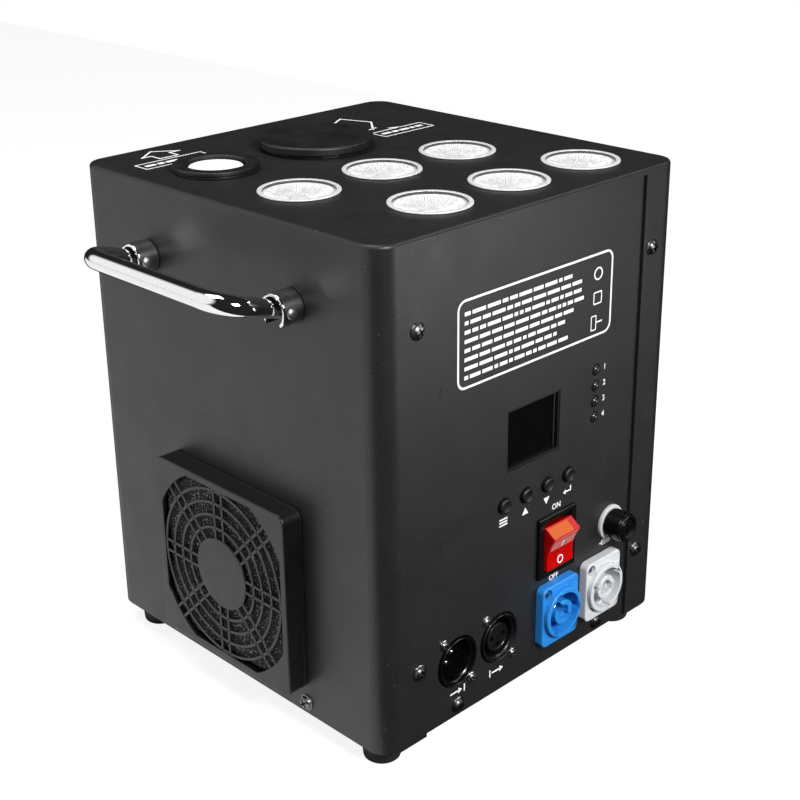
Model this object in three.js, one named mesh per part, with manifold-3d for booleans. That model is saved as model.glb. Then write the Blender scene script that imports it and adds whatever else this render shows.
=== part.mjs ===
// Cold spark machine: a folded steel case with a control panel, side handles and a fan,
// and inside it the hopper, feed screw, heater and blower that throw the sparks.
// Millimetres, +Z up. The origin lies on the ground under the middle of the whole machine,
// and the control panel faces -Y. X is counted from the middle, Y from the front face of the
// case, and Z from its underside or its top.

import * as THREE from 'three'
import { mergeVertices } from 'three/addons/utils/BufferGeometryUtils.js'
import Module from 'manifold-3d'

const wasm = await Module()
wasm.setup()

// Case and sheet metal
const caseWidth = 185
const caseDepth = 191
const caseHeight = 222
const sheet = 1.2
const cornerRadius = 10
const bendRadius = 2.5
const openingWidth = 137.4
const openingShift = 0.4
const lipHeight = 3
const trayLip = 10
const gap = 0.3
const over = 1

// Facet counts of round shapes
const fine = 20
const plain = 12
const coarse = 8
const hex = 6
const small = 10
const ringSides = 16
const windowSides = 32
const cornerSteps = 4
const bendSteps = 3

// Where the steps of small domes lie, as shares of their radius and height
const domeShare = 0.7
const capShares = [[0.65, 0.14], [0.92, 0.45], [1, 0.8]]

// Feet, which stand in from the walls
const foot = {
  height: 11, topRadius: 8.9, bottomRadius: 8.1, edge: 1.4, insetX: 13, insetY: 16,
  studRadius: 2.5, studReach: 5, recessRadius: 3.5, recessDepth: 5
}

// Folding handles: boss cups on the walls, and a bar on two rivets
const handle = {
  spacing: 94, drop: 33, tilt: 16.3, pivotOut: 7, reach: 27.8, bend: 13, tail: 3,
  barRadius: 4.25, legRadius: 3.7, taperStart: 3.6,
  bossRadius: 7.3, bossLength: 10.6, bossEdge: 1, boreRadius: 5.9, floor: 1.5, slotHalf: 4.2,
  slotBack: 4, studRadius: 2.5, studReach: 4,
  rivetRadius: 1.5, rivetHead: 2.5, rivetDome: 1.2, barSteps: 20
}

// Fan and its filter guard on the left wall
const fan = {
  fromFront: 91.6, height: 56.3, side: 80, corner: 4, depth: 25, boreRadius: 38,
  discRadius: 13, discDepth: 2, strutWidth: 3, bearingRadius: 4, bearingLength: 11,
  shaftRadius: 2, hubRadius: 15.5, hubWall: 2, hubFront: 3.5, hubLength: 17,
  bladeTip: 36.5, bladeChord: 19, bladeThickness: 1.5, bladePitch: 38, blades: 7
}
const guard = {
  side: 87.5, corner: 5, depth: 10.5, base: 1.7, boreRadius: 37.5, lipWall: 1.4, lipDepth: 3,
  barWidth: 3, coverWall: 2.4, face: 1.9, openHalf: 40.5, openRadius: 46, discRadius: 16.8,
  ringStart: 21.85, ringPitch: 5.95, ringWidth: 1.2, rings: 4, spokes: 8, spokeSpacing: 5.4,
  spokeWidth: 1.1, filterDepth: 5
}

// Lights in the top
const lens = {
  ringRadius: 17.5, rimHeight: 0.9, rimEdge: 0.7, rimWidth: 2.3, recess: 0.7, dome: 0.6,
  bodyRadius: 15.6, depth: 13, pitch: 47.45, frontRow: 29.3, rearRow: 81.4,
  frontStart: -35.4, rearStart: -58.9, perRow: 3
}
const lightBoard = {
  startX: -76.5, endX: 79.5, startY: 13, endY: 98, thickness: 1.6, inset: 4, studRadius: 2,
  studEnd: 2
}

// Spark outlet and heater
const outlet = {
  fromWall: 32.2, y: 134.6, ringRadius: 19, ringHeight: 3.3, ringEdge: 0.9, washerRadius: 18.4,
  washerHeight: 1, boreRadius: 13.4, spigotRadius: 16.7, spigotDepth: 6,
  tubeWall: 2.6, tubeLength: 22, flangeThickness: 1.8,
  capRadius: 12, capHeight: 1.5, capPlug: 4
}
const chamber = {
  radius: 17, boreRadius: 9, clearance: 1.7, floor: 4, airPort: 5.5, powderPort: 6,
  plate: 1.2, plateReach: 12, footReach: 12
}

// Powder hopper and its lid
const hopper = {
  fromOutlet: 58.3, rimRadius: 24.5, rimHeight: 1.2, neckRadius: 21.5, wall: 1.5, neckDepth: 32,
  throatRadius: 5
}
const lid = {
  radius: 26.8, height: 5.5, edge: 1.4, plugRadius: 19.7, plugWall: 1.5, plugDepth: 6
}
const feed = {
  height: 150, tubeRadius: 8, boreRadius: 6.3, past: 18, endWall: 2, flangeRadius: 14,
  coreRadius: 2, flightRadius: 5.8, flightWidth: 1.2, flightPitch: 11, shaftRadius: 2,
  shaftReach: 9, motorRadius: 14, motorLength: 38, coupling: 1, stepsPerTurn: 8
}

// Blower behind the power supply
const blower = {
  fromOutlet: 59.8, height: 83, radius: 32, width: 28, wall: 2, inletRadius: 14, ductSide: 17,
  motorRadius: 14, motorLength: 6, shaftRadius: 2.4, wheelRadius: 25, wheelDisc: 1.3,
  ringWidth: 2, bladeLength: 8, bladeThickness: 1.2, wheelWidth: 19, blades: 12,
  legHalf: 25, legWidth: 1.6, legDepth: 21, legDrop: 18
}

// Power supply and boards
const supply = {
  fanClearance: 23.5, wallClearance: 13.5, startY: 45, width: 65, height: 42.5, stepLength: 14,
  stepHeight: 24, blockHeight: 12, blockInset: 5, blockLength: 8
}
const control = {
  rise: 6, inset: 6, thickness: 1.6, standoffRadius: 3, standoffInset: 5,
  capRadius: 8, capHeight: 26, relayLength: 19, relayWidth: 15, relayHeight: 15, relays: 3,
  pitch: 22, partInset: 12
}
const display = {
  startX: -61.5, endX: 59.5, startZ: 81, endZ: 160, thickness: 1.6, standoff: 8,
  standoffRadius: 3, pinRadius: 1.3, markX: 55.25, markShift: -0.95, lowMark: 86.5, highMark: 155,
  windowX: -1, windowZ: 120.2, windowWidth: 34.4, windowHeight: 28.2, moduleBorder: 3.2,
  bezelBorder: 2, bezelDepth: 1.4, bezelBack: 0.3, keySide: 6, keyHeight: 3.5, plunger: 0.9,
  plungerRadius: 1.7
}
const light = {
  x: 40.4, top: 136.2, pitch: 7.55, count: 4, radius: 2.5, apex: 0, rail: 6, railDepth: 2.4
}

// Controls and sockets on the panel
const button = {
  first: -19.7, pitch: 14.23, height: 91.4, count: 4, radius: 3.4, rise: 1.9, flangeRadius: 4.6,
  flange: 1.2, stemRadius: 2, travel: 0.8
}
const rocker = {
  x: 15.4, height: 60.9, bezelWidth: 25.4, bezelHeight: 30.4, bezelFront: 1.7, bodyWidth: 21.8,
  bodyHeight: 26.8, bodyDepth: 24, cavityWidth: 18.6, cavityHeight: 25.4, cavityDepth: 14,
  pivotIn: 5, pivotDrop: 0.4, pinRadius: 1.3, pinReach: 1.5, tilt: 12,
  noseOut: 9.27, noseUp: 8.83, valleyOut: 7.4, topOut: 2.9, topUp: 11.6, backIn: 3.5, backUp: 7,
  bladeWidth: 6.3, bladeThickness: 0.8, bladeLength: 6, bladeSpacing: 9
}
const fuse = {
  x: 54.8, height: 56.1, ringRadius: 8.4, ringHeight: 1.6, ringEdge: 0.4, bodyRadius: 6.2,
  bodyEnd: 34, mouthRadius: 5.5, mouthEnd: 8, radius: 2.6, start: 4, length: 20,
  knobRadius: 7, knobEdge: 0.6, rimWidth: 1.8, rimDepth: 1, stemEnd: 7, slotWidth: 1.6,
  slotLength: 9, slotDepth: 1.5, knobReach: 10
}
const dmx = {
  inX: -47.9, outX: -21.3, height: 27.2, radius: 11.3, edge: 0.7, depth: 24, proud: 1,
  flangeWidth: 26, flangeHeight: 31, flange: 1.8, bowlRadius: 9.3, bowlDepth: 14,
  pinRadius: 1.25, pinCircle: 3.7, pinLength: 7.5, insertRadius: 6.6, socketRadius: 1.5,
  socketDepth: 10, latchHalf: 3, latchReach: 10.4, latchDepth: 5
}
const mains = {
  inX: 15.8, outX: 46.8, height: 26.6, width: 25, tall: 30.4, corner: 3, flange: 4.2,
  collarRadius: 12, collar: 2.5, collarEdge: 0.6, bodyRadius: 11.3, depth: 24, boreRadius: 9.9,
  boreDepth: 17, coreRadius: 5.9, coreBack: 4.5, slotWidth: 2, slotDepth: 6
}
const vent = { slots: 8, length: 60, height: 3, pitch: 8, low: 40 }

// Planes of the case, taken from the sizes above
const left = -caseWidth / 2
const right = caseWidth / 2
const back = (caseDepth + fuse.knobReach) / 2
const front = back - caseDepth
const base = foot.height
const top = base + caseHeight
const panelFace = front + sheet + gap
const panelInside = panelFace + sheet
const floor = base + sheet
const wallInset = sheet + gap
const outletX = left + outlet.fromWall
const outletY = front + outlet.y
const hopperX = outletX + hopper.fromOutlet
const hopperY = outletY
const blowerX = outletX + blower.fromOutlet
const supplyStart = left + wallInset + fan.depth + supply.fanClearance
const supplyEnd = right - wallInset - supply.wallClearance

// Colours, roughness and metalness of the finishes
const looks = {
  powderCoat: { color: 0x353536, roughness: 0.55, metalness: 0.1 },
  zincSteel: { color: 0xa5a8aa, roughness: 0.4, metalness: 0.9 },
  chrome: { color: 0xe8e8e8, roughness: 0.08, metalness: 1 },
  paintedCast: { color: 0x676767, roughness: 0.45, metalness: 0.3 },
  rubber: { color: 0x1c1c1c, roughness: 0.85, metalness: 0 },
  blackPlastic: { color: 0x2a2a2a, roughness: 0.5, metalness: 0 },
  guardPlastic: { color: 0x474747, roughness: 0.5, metalness: 0 },
  foam: { color: 0x111111, roughness: 0.95, metalness: 0 },
  clearPlastic: { color: 0xe7e7e6, roughness: 0.2, metalness: 0 },
  whitePlastic: { color: 0xd6d8d9, roughness: 0.45, metalness: 0 },
  ceramic: { color: 0xf2f3f3, roughness: 0.6, metalness: 0 },
  bluePlastic: { color: 0x2f9bea, roughness: 0.4, metalness: 0 },
  redPlastic: { color: 0xc00d0d, roughness: 0.35, metalness: 0 },
  boardGreen: { color: 0x1f5a38, roughness: 0.5, metalness: 0 },
  darkGlass: { color: 0x0f0f0f, roughness: 0.15, metalness: 0 },
  glass: { color: 0xcfd4d6, roughness: 0.1, metalness: 0 },
  brushedSteel: { color: 0x8f9193, roughness: 0.35, metalness: 1 }
}

// How an outline drawn in two coordinates is laid across each axis
const acrossX = new THREE.Matrix4().makeBasis(
  new THREE.Vector3(0, 1, 0), new THREE.Vector3(0, 0, 1), new THREE.Vector3(1, 0, 0))
const acrossY = new THREE.Matrix4().makeBasis(
  new THREE.Vector3(1, 0, 0), new THREE.Vector3(0, 0, 1), new THREE.Vector3(0, -1, 0))
const acrossZ = new THREE.Matrix4()
const across = { x: acrossX, y: acrossY, z: acrossZ }

// How a turned profile is stood along each axis
const alongX = new THREE.Matrix4().makeBasis(
  new THREE.Vector3(0, -1, 0), new THREE.Vector3(1, 0, 0), new THREE.Vector3(0, 0, 1))
const alongY = new THREE.Matrix4()
const alongZ = acrossY
const along = { x: alongX, y: alongY, z: alongZ }

// A closed solid from a geometry whose shared corners are merged and whose faces point out
function toSolid(geometry) {
  geometry.deleteAttribute('normal')
  geometry.deleteAttribute('uv')
  const merged = mergeVertices(geometry)
  const places = merged.getAttribute('position').array
  const corners = merged.getIndex().array
  const kept = []
  let volume = 0
  const a = new THREE.Vector3()
  const b = new THREE.Vector3()
  const c = new THREE.Vector3()
  for (let i = 0; i < corners.length; i += 3) {
    const [p, q, r] = corners.subarray(i, i + 3)
    if (p === q || q === r || r === p) continue
    kept.push(p, q, r)
    a.fromArray(places, 3 * p)
    b.fromArray(places, 3 * q)
    c.fromArray(places, 3 * r)
    volume += a.dot(b.cross(c))
  }
  if (volume < 0) kept.reverse()
  return new wasm.Manifold(new wasm.Mesh({
    numProp: 3,
    vertProperties: Float32Array.from(places),
    triVerts: Uint32Array.from(kept)
  }))
}

function toGeometry(solid) {
  const { vertProperties, triVerts } = solid.getMesh()
  const geometry = new THREE.BufferGeometry()
  geometry.setAttribute('position', new THREE.BufferAttribute(vertProperties, 3))
  geometry.setIndex(new THREE.BufferAttribute(triVerts, 1))
  return geometry
}

const join = (...solids) => solids.reduce((whole, next) => whole.add(next))
const cut = (solid, ...tools) => tools.reduce((rest, tool) => rest.subtract(tool), solid)

function circle(u, v, radius, sides) {
  return Array.from({ length: sides }, (_, i) => {
    const turn = 2 * Math.PI * i / sides
    return new THREE.Vector2(u + radius * Math.cos(turn), v + radius * Math.sin(turn))
  })
}

function rectangle(u0, v0, u1, v1) {
  return [[u0, v0], [u1, v0], [u1, v1], [u0, v1]].map(([u, v]) => new THREE.Vector2(u, v))
}

// A rectangle with round corners, each of a few straight steps
function rounded(u0, v0, u1, v1, radius) {
  const centres = [[u1 - radius, v1 - radius], [u0 + radius, v1 - radius],
    [u0 + radius, v0 + radius], [u1 - radius, v0 + radius]]
  return centres.flatMap(([u, v], corner) => Array.from({ length: cornerSteps + 1 }, (_, i) => {
    const turn = Math.PI / 2 * (corner + i / cornerSteps)
    return new THREE.Vector2(u + radius * Math.cos(turn), v + radius * Math.sin(turn))
  }))
}

// An outline with holes, standing from one level to another along an axis
function slab(axis, outline, holes, from, to) {
  const shape = new THREE.Shape(outline)
  shape.holes = holes.map(points => new THREE.Path(points))
  const geometry = new THREE.ExtrudeGeometry(shape, { depth: to - from, bevelEnabled: false })
  geometry.translate(0, 0, axis === 'y' ? -to : from)
  geometry.applyMatrix4(across[axis])
  return toSolid(geometry)
}

const rod = (axis, u, v, radius, from, to, sides) =>
  slab(axis, circle(u, v, radius, sides), [], from, to)

const tube = (axis, u, v, outer, inner, from, to, sides) =>
  slab(axis, circle(u, v, outer, sides), [circle(u, v, inner, sides)], from, to)

// A profile of radius and level pairs, turned about an axis
function turned(axis, centre, profile, sides) {
  const points = profile.map(([radius, level]) => new THREE.Vector2(radius, level))
  const geometry = new THREE.LatheGeometry(points, sides)
  geometry.applyMatrix4(along[axis])
  geometry.translate(...centre)
  return toSolid(geometry)
}

function block(x0, x1, y0, y1, z0, z1) {
  const geometry = new THREE.BoxGeometry(x1 - x0, y1 - y0, z1 - z0)
  geometry.translate((x0 + x1) / 2, (y0 + y1) / 2, (z0 + z1) / 2)
  return toSolid(geometry)
}

function add(parent, name, solid, look) {
  const mesh = new THREE.Mesh(toGeometry(solid), new THREE.MeshStandardMaterial(look))
  mesh.name = name
  parent.add(mesh)
  return mesh
}

function frameAt(parent, x, y, z) {
  const frame = new THREE.Group()
  frame.position.set(x, y, z)
  parent.add(frame)
  return frame
}

const machine = new THREE.Group()

// Places of the lenses and of the studs that carry their board
const lensPlaces = [[lens.frontStart, lens.frontRow], [lens.rearStart, lens.rearRow]].flatMap(
  ([start, row]) => Array.from({ length: lens.perRow }, (_, i) => [start + i * lens.pitch, front + row]))
const boardTop = top - lens.depth - gap
const boardUnder = boardTop - lightBoard.thickness
const studPlaces = [lightBoard.startX + lightBoard.inset, lightBoard.endX - lightBoard.inset].flatMap(
  x => [lightBoard.startY + lightBoard.inset, lightBoard.endY - lightBoard.inset].map(y => [x, front + y]))

// The cover is one folded sheet: side walls, top, and the flanges round both open ends
function outerCover() {
  const inset = bendRadius
  const shape = new THREE.Shape(rounded(left + inset, front + inset, right - inset, back - inset,
    cornerRadius - inset))
  const geometry = new THREE.ExtrudeGeometry(shape, {
    depth: caseHeight + over - bendRadius,
    bevelEnabled: true,
    bevelThickness: bendRadius,
    bevelSize: bendRadius,
    bevelSegments: bendSteps
  })
  geometry.translate(0, 0, base - over)
  const hull = toSolid(geometry)
  const below = block(left - over, right + over, front - over, back + over,
    base - over - bendRadius - over, base)
  const inside = slab('z', rounded(left + sheet, front + sheet, right - sheet, back - sheet,
    cornerRadius - sheet), [], base - over, top - sheet)
  const half = openingWidth / 2
  const opening = (y0, y1) => block(openingShift - half, openingShift + half, y0, y1,
    base - over, top - lipHeight)
  const openings = [opening(front - over, front + sheet + over), opening(back - sheet - over, back + over)]
  const lensHoles = lensPlaces.map(([x, y]) =>
    rod('z', x, y, lens.bodyRadius + gap, top - sheet - over, top + over, fine))
  const outletHole = rod('z', outletX, outletY, outlet.spigotRadius + gap,
    top - sheet - over, top + over, fine)
  const hopperHole = rod('z', hopperX, hopperY, hopper.neckRadius + gap,
    top - sheet - over, top + over, fine)
  const fanHole = rod('x', front + fan.fromFront, base + fan.height, guard.boreRadius,
    left - over, left + sheet + over, fine)
  const bossHoles = [-1, 1].map(side => rod('x', front + caseDepth / 2 + side * handle.spacing / 2,
    top - handle.drop, handle.studRadius + gap, left - over, right + over, coarse))
  const middle = front + caseDepth / 2
  const slots = Array.from({ length: vent.slots }, (_, i) => block(right - sheet - over, right + over,
    middle - vent.length / 2, middle + vent.length / 2,
    base + vent.low + i * vent.pitch, base + vent.low + i * vent.pitch + vent.height))
  const studs = studPlaces.map(([x, y]) => rod('z', x, y, lightBoard.studRadius,
    boardUnder - lightBoard.studEnd, top - sheet / 2, coarse))
  const shell = cut(hull, below, inside, ...openings, ...lensHoles, outletHole, hopperHole, fanHole,
    ...bossHoles, ...slots)
  return join(shell, ...studs)
}

const buttonPlaces = Array.from({ length: button.count }, (_, i) => button.first + i * button.pitch)
const lightLevels = Array.from({ length: light.count }, (_, i) => base + light.top - i * light.pitch)
const markPlaces = [-1, 1].flatMap(side => [display.lowMark, display.highMark].map(
  z => [display.markShift + side * display.markX, base + z]))
const displayBoardFace = panelInside + display.standoff + gap

// The control panel stands behind the flanges and carries the display board on four standoffs
function frontPanel() {
  const half = caseWidth / 2 - cornerRadius
  const windowHole = rectangle(display.windowX - display.windowWidth / 2,
    base + display.windowZ - display.windowHeight / 2,
    display.windowX + display.windowWidth / 2,
    base + display.windowZ + display.windowHeight / 2)
  const bodyHalf = rocker.bodyWidth / 2 + gap
  const bodyTall = rocker.bodyHeight / 2 + gap
  const switchHole = rectangle(rocker.x - bodyHalf, base + rocker.height - bodyTall,
    rocker.x + bodyHalf, base + rocker.height + bodyTall)
  const holes = [
    windowHole,
    switchHole,
    ...lightLevels.map(z => circle(light.x, z, light.radius + gap, coarse)),
    ...buttonPlaces.map(x => circle(x, base + button.height, button.radius + gap, plain)),
    circle(fuse.x, base + fuse.height, fuse.bodyRadius + gap, plain),
    ...[dmx.inX, dmx.outX].map(x => circle(x, base + dmx.height, dmx.radius + gap, fine)),
    ...[mains.inX, mains.outX].map(x => circle(x, base + mains.height, mains.bodyRadius + gap, fine))
  ]
  const plate = slab('y', rectangle(-half, base, half, top - wallInset), holes, panelFace, panelInside)
  const standoffs = markPlaces.flatMap(([x, z]) => [
    rod('y', x, z, display.standoffRadius, panelInside - sheet / 2, displayBoardFace - gap, hex),
    rod('y', x, z, display.pinRadius, panelInside, displayBoardFace + display.thickness + over, hex)
  ])
  return join(plate, ...standoffs)
}

function rearPanel() {
  const half = caseWidth / 2 - cornerRadius
  return slab('y', rectangle(-half, base, half, top - wallInset), [],
    back - wallInset - sheet, back - wallInset)
}

const footPlaces = [['front', front + foot.insetY], ['rear', back - foot.insetY]].flatMap(
  ([end, y]) => [['left', left + foot.insetX], ['right', right - foot.insetX]].map(
    ([side, x]) => [`foot_${end}_${side}`, x, y]))

// The base is a tray whose lips stand inside the walls and panels
function basePlate() {
  const x1 = caseWidth / 2 - wallInset
  const y0 = panelInside + gap
  const y1 = back - wallInset - sheet - gap
  const radius = cornerRadius - wallInset
  const holes = footPlaces.map(([, x, y]) => circle(x, y, foot.studRadius + gap, coarse))
  const tray = slab('z', rounded(-x1, y0, x1, y1, radius), holes, base, base + trayLip)
  const inside = slab('z', rounded(-x1 + sheet, y0 + sheet, x1 - sheet, y1 - sheet, radius - sheet), [],
    base + sheet, base + trayLip + over)
  return cut(tray, inside)
}

// A rubber foot moulded on a screw, with its head sunk in the underside
function footSolid() {
  return turned('z', [0, 0, 0], [
    [0, foot.recessDepth],
    [foot.recessRadius, foot.recessDepth],
    [foot.recessRadius, 0],
    [foot.bottomRadius - foot.edge, 0],
    [foot.bottomRadius, foot.edge],
    [foot.topRadius, foot.height - gap],
    [foot.studRadius, foot.height - gap],
    [foot.studRadius, foot.height + sheet + foot.studReach],
    [0, foot.height + sheet + foot.studReach]
  ], plain)
}

// A cup whose mouth and underside let the handle's leg swing, with a stud through the wall
function handleBoss(y) {
  const cup = turned('x', [0, y, 0], [
    [0, -sheet - handle.studReach],
    [handle.studRadius, -sheet - handle.studReach],
    [handle.studRadius, gap],
    [handle.bossRadius, gap],
    [handle.bossRadius, handle.bossLength - handle.bossEdge],
    [handle.bossRadius - handle.bossEdge, handle.bossLength],
    [handle.boreRadius, handle.bossLength],
    [handle.boreRadius, handle.floor],
    [0, handle.floor]
  ], plain)
  const slot = block(handle.pivotOut - handle.slotBack, handle.bossLength + over,
    y - handle.slotHalf, y + handle.slotHalf, -handle.bossRadius - over, 0)
  const pinHole = rod('y', handle.pivotOut, 0, handle.rivetRadius + gap,
    y - handle.bossRadius - over, y + handle.bossRadius + over, coarse)
  return cut(cup, slot, pinHole)
}

function handleRivet(y) {
  const half = handle.bossRadius + gap
  const dome = handle.rivetDome
  return turned('y', [handle.pivotOut, y, 0], [
    [0, -half - dome],
    [handle.rivetHead * domeShare, -half - dome * domeShare],
    [handle.rivetHead, -half],
    [handle.rivetRadius, -half],
    [handle.rivetRadius, half],
    [handle.rivetHead, half],
    [handle.rivetHead * domeShare, half + dome * domeShare],
    [0, half + dome]
  ], small)
}

// The middle line of the handle bar, level at rest, from one leg's end to the other's
class BarLine extends THREE.Curve {
  constructor() {
    super()
    const half = handle.spacing / 2
    const inner = handle.reach - handle.bend
    this.path = new THREE.Path()
    this.path.moveTo(-handle.tail, -half)
    this.path.lineTo(inner, -half)
    this.path.absarc(inner, -half + handle.bend, handle.bend, -Math.PI / 2, 0)
    this.path.lineTo(handle.reach, half - handle.bend)
    this.path.absarc(inner, half - handle.bend, handle.bend, 0, Math.PI / 2)
    this.path.lineTo(-handle.tail, half)
  }

  getPoint(share) {
    const { x, y } = this.path.getPoint(share)
    return new THREE.Vector3(x, y, 0)
  }
}

function handleBar() {
  const geometry = new THREE.ExtrudeGeometry(new THREE.Shape(circle(0, 0, handle.barRadius, coarse)), {
    steps: handle.barSteps,
    extrudePath: new BarLine()
  })
  const half = handle.spacing / 2
  const straight = handle.reach - handle.bend
  const places = geometry.getAttribute('position')
  for (let i = 0; i < places.count; i += 1) {
    const x = places.getX(i)
    if (x < straight) {
      const share = Math.max(0, (x - handle.taperStart) / (straight - handle.taperStart))
      const radius = handle.legRadius + (handle.barRadius - handle.legRadius) * share
      const middle = Math.sign(places.getY(i)) * half
      const scale = radius / handle.barRadius
      places.setY(i, middle + (places.getY(i) - middle) * scale)
      places.setZ(i, places.getZ(i) * scale)
    }
  }
  const pinHole = rod('y', 0, 0, handle.rivetRadius + gap, -half - handle.barRadius - over,
    half + handle.barRadius + over, coarse)
  return cut(toSolid(geometry), pinHole)
}

// One side's handle, built with x' pointing out of the wall
function buildHandle(side, wall, turn) {
  const frame = frameAt(machine, wall, front + caseDepth / 2, top - handle.drop)
  frame.rotation.z = turn
  const ends = turn === 0 ? ['front', 'rear'] : ['rear', 'front']
  const half = handle.spacing / 2
  ends.forEach((end, i) => {
    const y = i === 0 ? -half : half
    add(frame, `${side}_handle_boss_${end}`, handleBoss(y), looks.paintedCast)
    add(frame, `${side}_handle_rivet_${end}`, handleRivet(y), looks.zincSteel)
  })
  const pivot = frameAt(frame, handle.pivotOut, 0, 0)
  pivot.rotation.y = -handle.tilt * Math.PI / 180
  add(pivot, `${side}_handle_bar`, handleBar(), looks.chrome)
}

// Fan and guard, built with x' pointing out of the left wall
const guardSeat = gap + guard.base

function guardFrame() {
  const half = guard.side / 2
  const lipHalf = half - guard.coverWall - gap
  const plate = slab('x', rounded(-half, -half, half, half, guard.corner),
    [circle(0, 0, guard.boreRadius, fine)], gap, guardSeat)
  const lipInside = lipHalf - guard.lipWall
  const lip = slab('x', rectangle(-lipHalf, -lipHalf, lipHalf, lipHalf),
    [rectangle(-lipInside, -lipInside, lipInside, lipInside)], guardSeat - gap, guardSeat + guard.lipDepth)
  const bar = guard.barWidth / 2
  const level = block(gap, guardSeat, -guard.boreRadius - over, guard.boreRadius + over, -bar, bar)
  const upright = block(gap, guardSeat, -bar, bar, -guard.boreRadius - over, guard.boreRadius + over)
  return join(plate, lip, level, upright)
}

function guardFilter() {
  const half = guard.side / 2 - guard.coverWall - gap - guard.lipWall - gap
  return slab('x', rectangle(-half, -half, half, half), [], guardSeat + gap,
    guardSeat + gap + guard.filterDepth)
}

// Rings and pairs of spokes, trimmed to the window of the guard's face
function guardGrille(from, to) {
  const rings = Array.from({ length: guard.rings }, (_, i) => {
    const middle = guard.ringStart + i * guard.ringPitch
    return tube('x', 0, 0, middle + guard.ringWidth / 2, middle - guard.ringWidth / 2, from, to, ringSides)
  })
  const spokes = Array.from({ length: guard.spokes }, (_, i) => {
    const turn = 2 * Math.PI * i / guard.spokes
    return [-1, 1].map(side => {
      const near = side * guard.spokeSpacing / 2 - guard.spokeWidth / 2
      const points = rectangle(guard.discRadius - guard.ringWidth, near, guard.openRadius + over,
        near + guard.spokeWidth)
      points.forEach(point => point.rotateAround(new THREE.Vector2(0, 0), turn))
      return slab('x', points, [], from, to)
    })
  })
  const disc = rod('x', 0, 0, guard.discRadius, from, to, fine)
  return join(disc, ...rings, ...spokes.flat())
}

function guardCover() {
  const half = guard.side / 2
  const inner = half - guard.coverWall
  const faceBack = guard.depth - guard.face
  const hull = slab('x', rounded(-half, -half, half, half, guard.corner), [], guardSeat + gap, guard.depth)
  const hollow = slab('x', rectangle(-inner, -inner, inner, inner), [], guardSeat + gap - over, faceBack)
  const square = slab('x', rectangle(-guard.openHalf, -guard.openHalf, guard.openHalf, guard.openHalf), [],
    faceBack - over, guard.depth + over)
  const round = rod('x', 0, 0, guard.openRadius, faceBack - over, guard.depth + over, windowSides)
  const window = square.intersect(round)
  const grille = guardGrille(faceBack, guard.depth).intersect(square)
  return join(cut(hull, hollow, window), grille)
}

function fanHousing() {
  const half = fan.side / 2
  const outer = -wallInset
  const rear = outer - fan.depth
  const frame = slab('x', rounded(-half, -half, half, half, fan.corner),
    [circle(0, 0, fan.boreRadius, fine)], rear, outer)
  const disc = rod('x', 0, 0, fan.discRadius, rear, rear + fan.discDepth, plain)
  const bar = fan.strutWidth / 2
  const reach = fan.boreRadius + over
  const level = block(rear, rear + fan.discDepth, -reach, reach, -bar, bar)
  const upright = block(rear, rear + fan.discDepth, -bar, bar, -reach, reach)
  const bearing = rod('x', 0, 0, fan.bearingRadius, rear, rear + fan.discDepth + fan.bearingLength, plain)
  const bore = rod('x', 0, 0, fan.shaftRadius + gap, rear + fan.discDepth,
    rear + fan.discDepth + fan.bearingLength + over, plain)
  return cut(join(frame, disc, level, upright, bearing), bore)
}

function fanRotor() {
  const face = -wallInset - fan.hubFront
  const rear = face - fan.hubLength
  const shaftEnd = -wallInset - fan.depth + fan.discDepth + gap
  const hub = turned('x', [0, 0, 0], [
    [0, shaftEnd],
    [fan.shaftRadius, shaftEnd],
    [fan.shaftRadius, face - fan.hubWall],
    [fan.hubRadius - fan.hubWall, face - fan.hubWall],
    [fan.hubRadius - fan.hubWall, rear],
    [fan.hubRadius, rear],
    [fan.hubRadius, face],
    [0, face]
  ], plain)
  const length = fan.bladeTip - fan.hubRadius + over
  const blades = Array.from({ length: fan.blades }, (_, i) => {
    const geometry = new THREE.BoxGeometry(fan.bladeThickness, length, fan.bladeChord)
    geometry.rotateY(fan.bladePitch * Math.PI / 180)
    geometry.translate((face + rear) / 2, fan.hubRadius - over + length / 2, 0)
    geometry.rotateX(2 * Math.PI * i / fan.blades)
    return toSolid(geometry)
  })
  return join(hub, ...blades)
}

function buildFan() {
  const frame = frameAt(machine, left, front + fan.fromFront, base + fan.height)
  frame.rotation.z = Math.PI
  add(frame, 'fan_guard_frame', guardFrame(), looks.guardPlastic)
  add(frame, 'fan_filter', guardFilter(), looks.foam)
  add(frame, 'fan_guard_cover', guardCover(), looks.guardPlastic)
  add(frame, 'fan_housing', fanHousing(), looks.blackPlastic)
  add(frame, 'fan_rotor', fanRotor(), looks.blackPlastic)
}

// A lens with its rim on the top and its body through the hole
function lensSolid() {
  const innerRim = lens.ringRadius - lens.rimWidth
  return turned('z', [0, 0, 0], [
    [0, -lens.depth],
    [lens.bodyRadius, -lens.depth],
    [lens.bodyRadius, gap],
    [lens.ringRadius, gap],
    [lens.ringRadius - lens.rimEdge, lens.rimHeight],
    [innerRim + lens.rimEdge, lens.rimHeight],
    [innerRim, lens.rimHeight - lens.recess],
    [0, lens.rimHeight - lens.recess + lens.dome]
  ], fine)
}

function ledBoard() {
  const holes = studPlaces.map(([x, y]) => circle(x, y, lightBoard.studRadius + gap, coarse))
  return slab('z', rectangle(lightBoard.startX, front + lightBoard.startY, lightBoard.endX,
    front + lightBoard.endY), holes, boardUnder, boardTop)
}

const chamberTop = top - outlet.tubeLength
const chamberBase = base + fan.height + fan.side / 2 + chamber.clearance
const ductLevel = base + blower.height + blower.radius - blower.ductSide / 2

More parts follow.
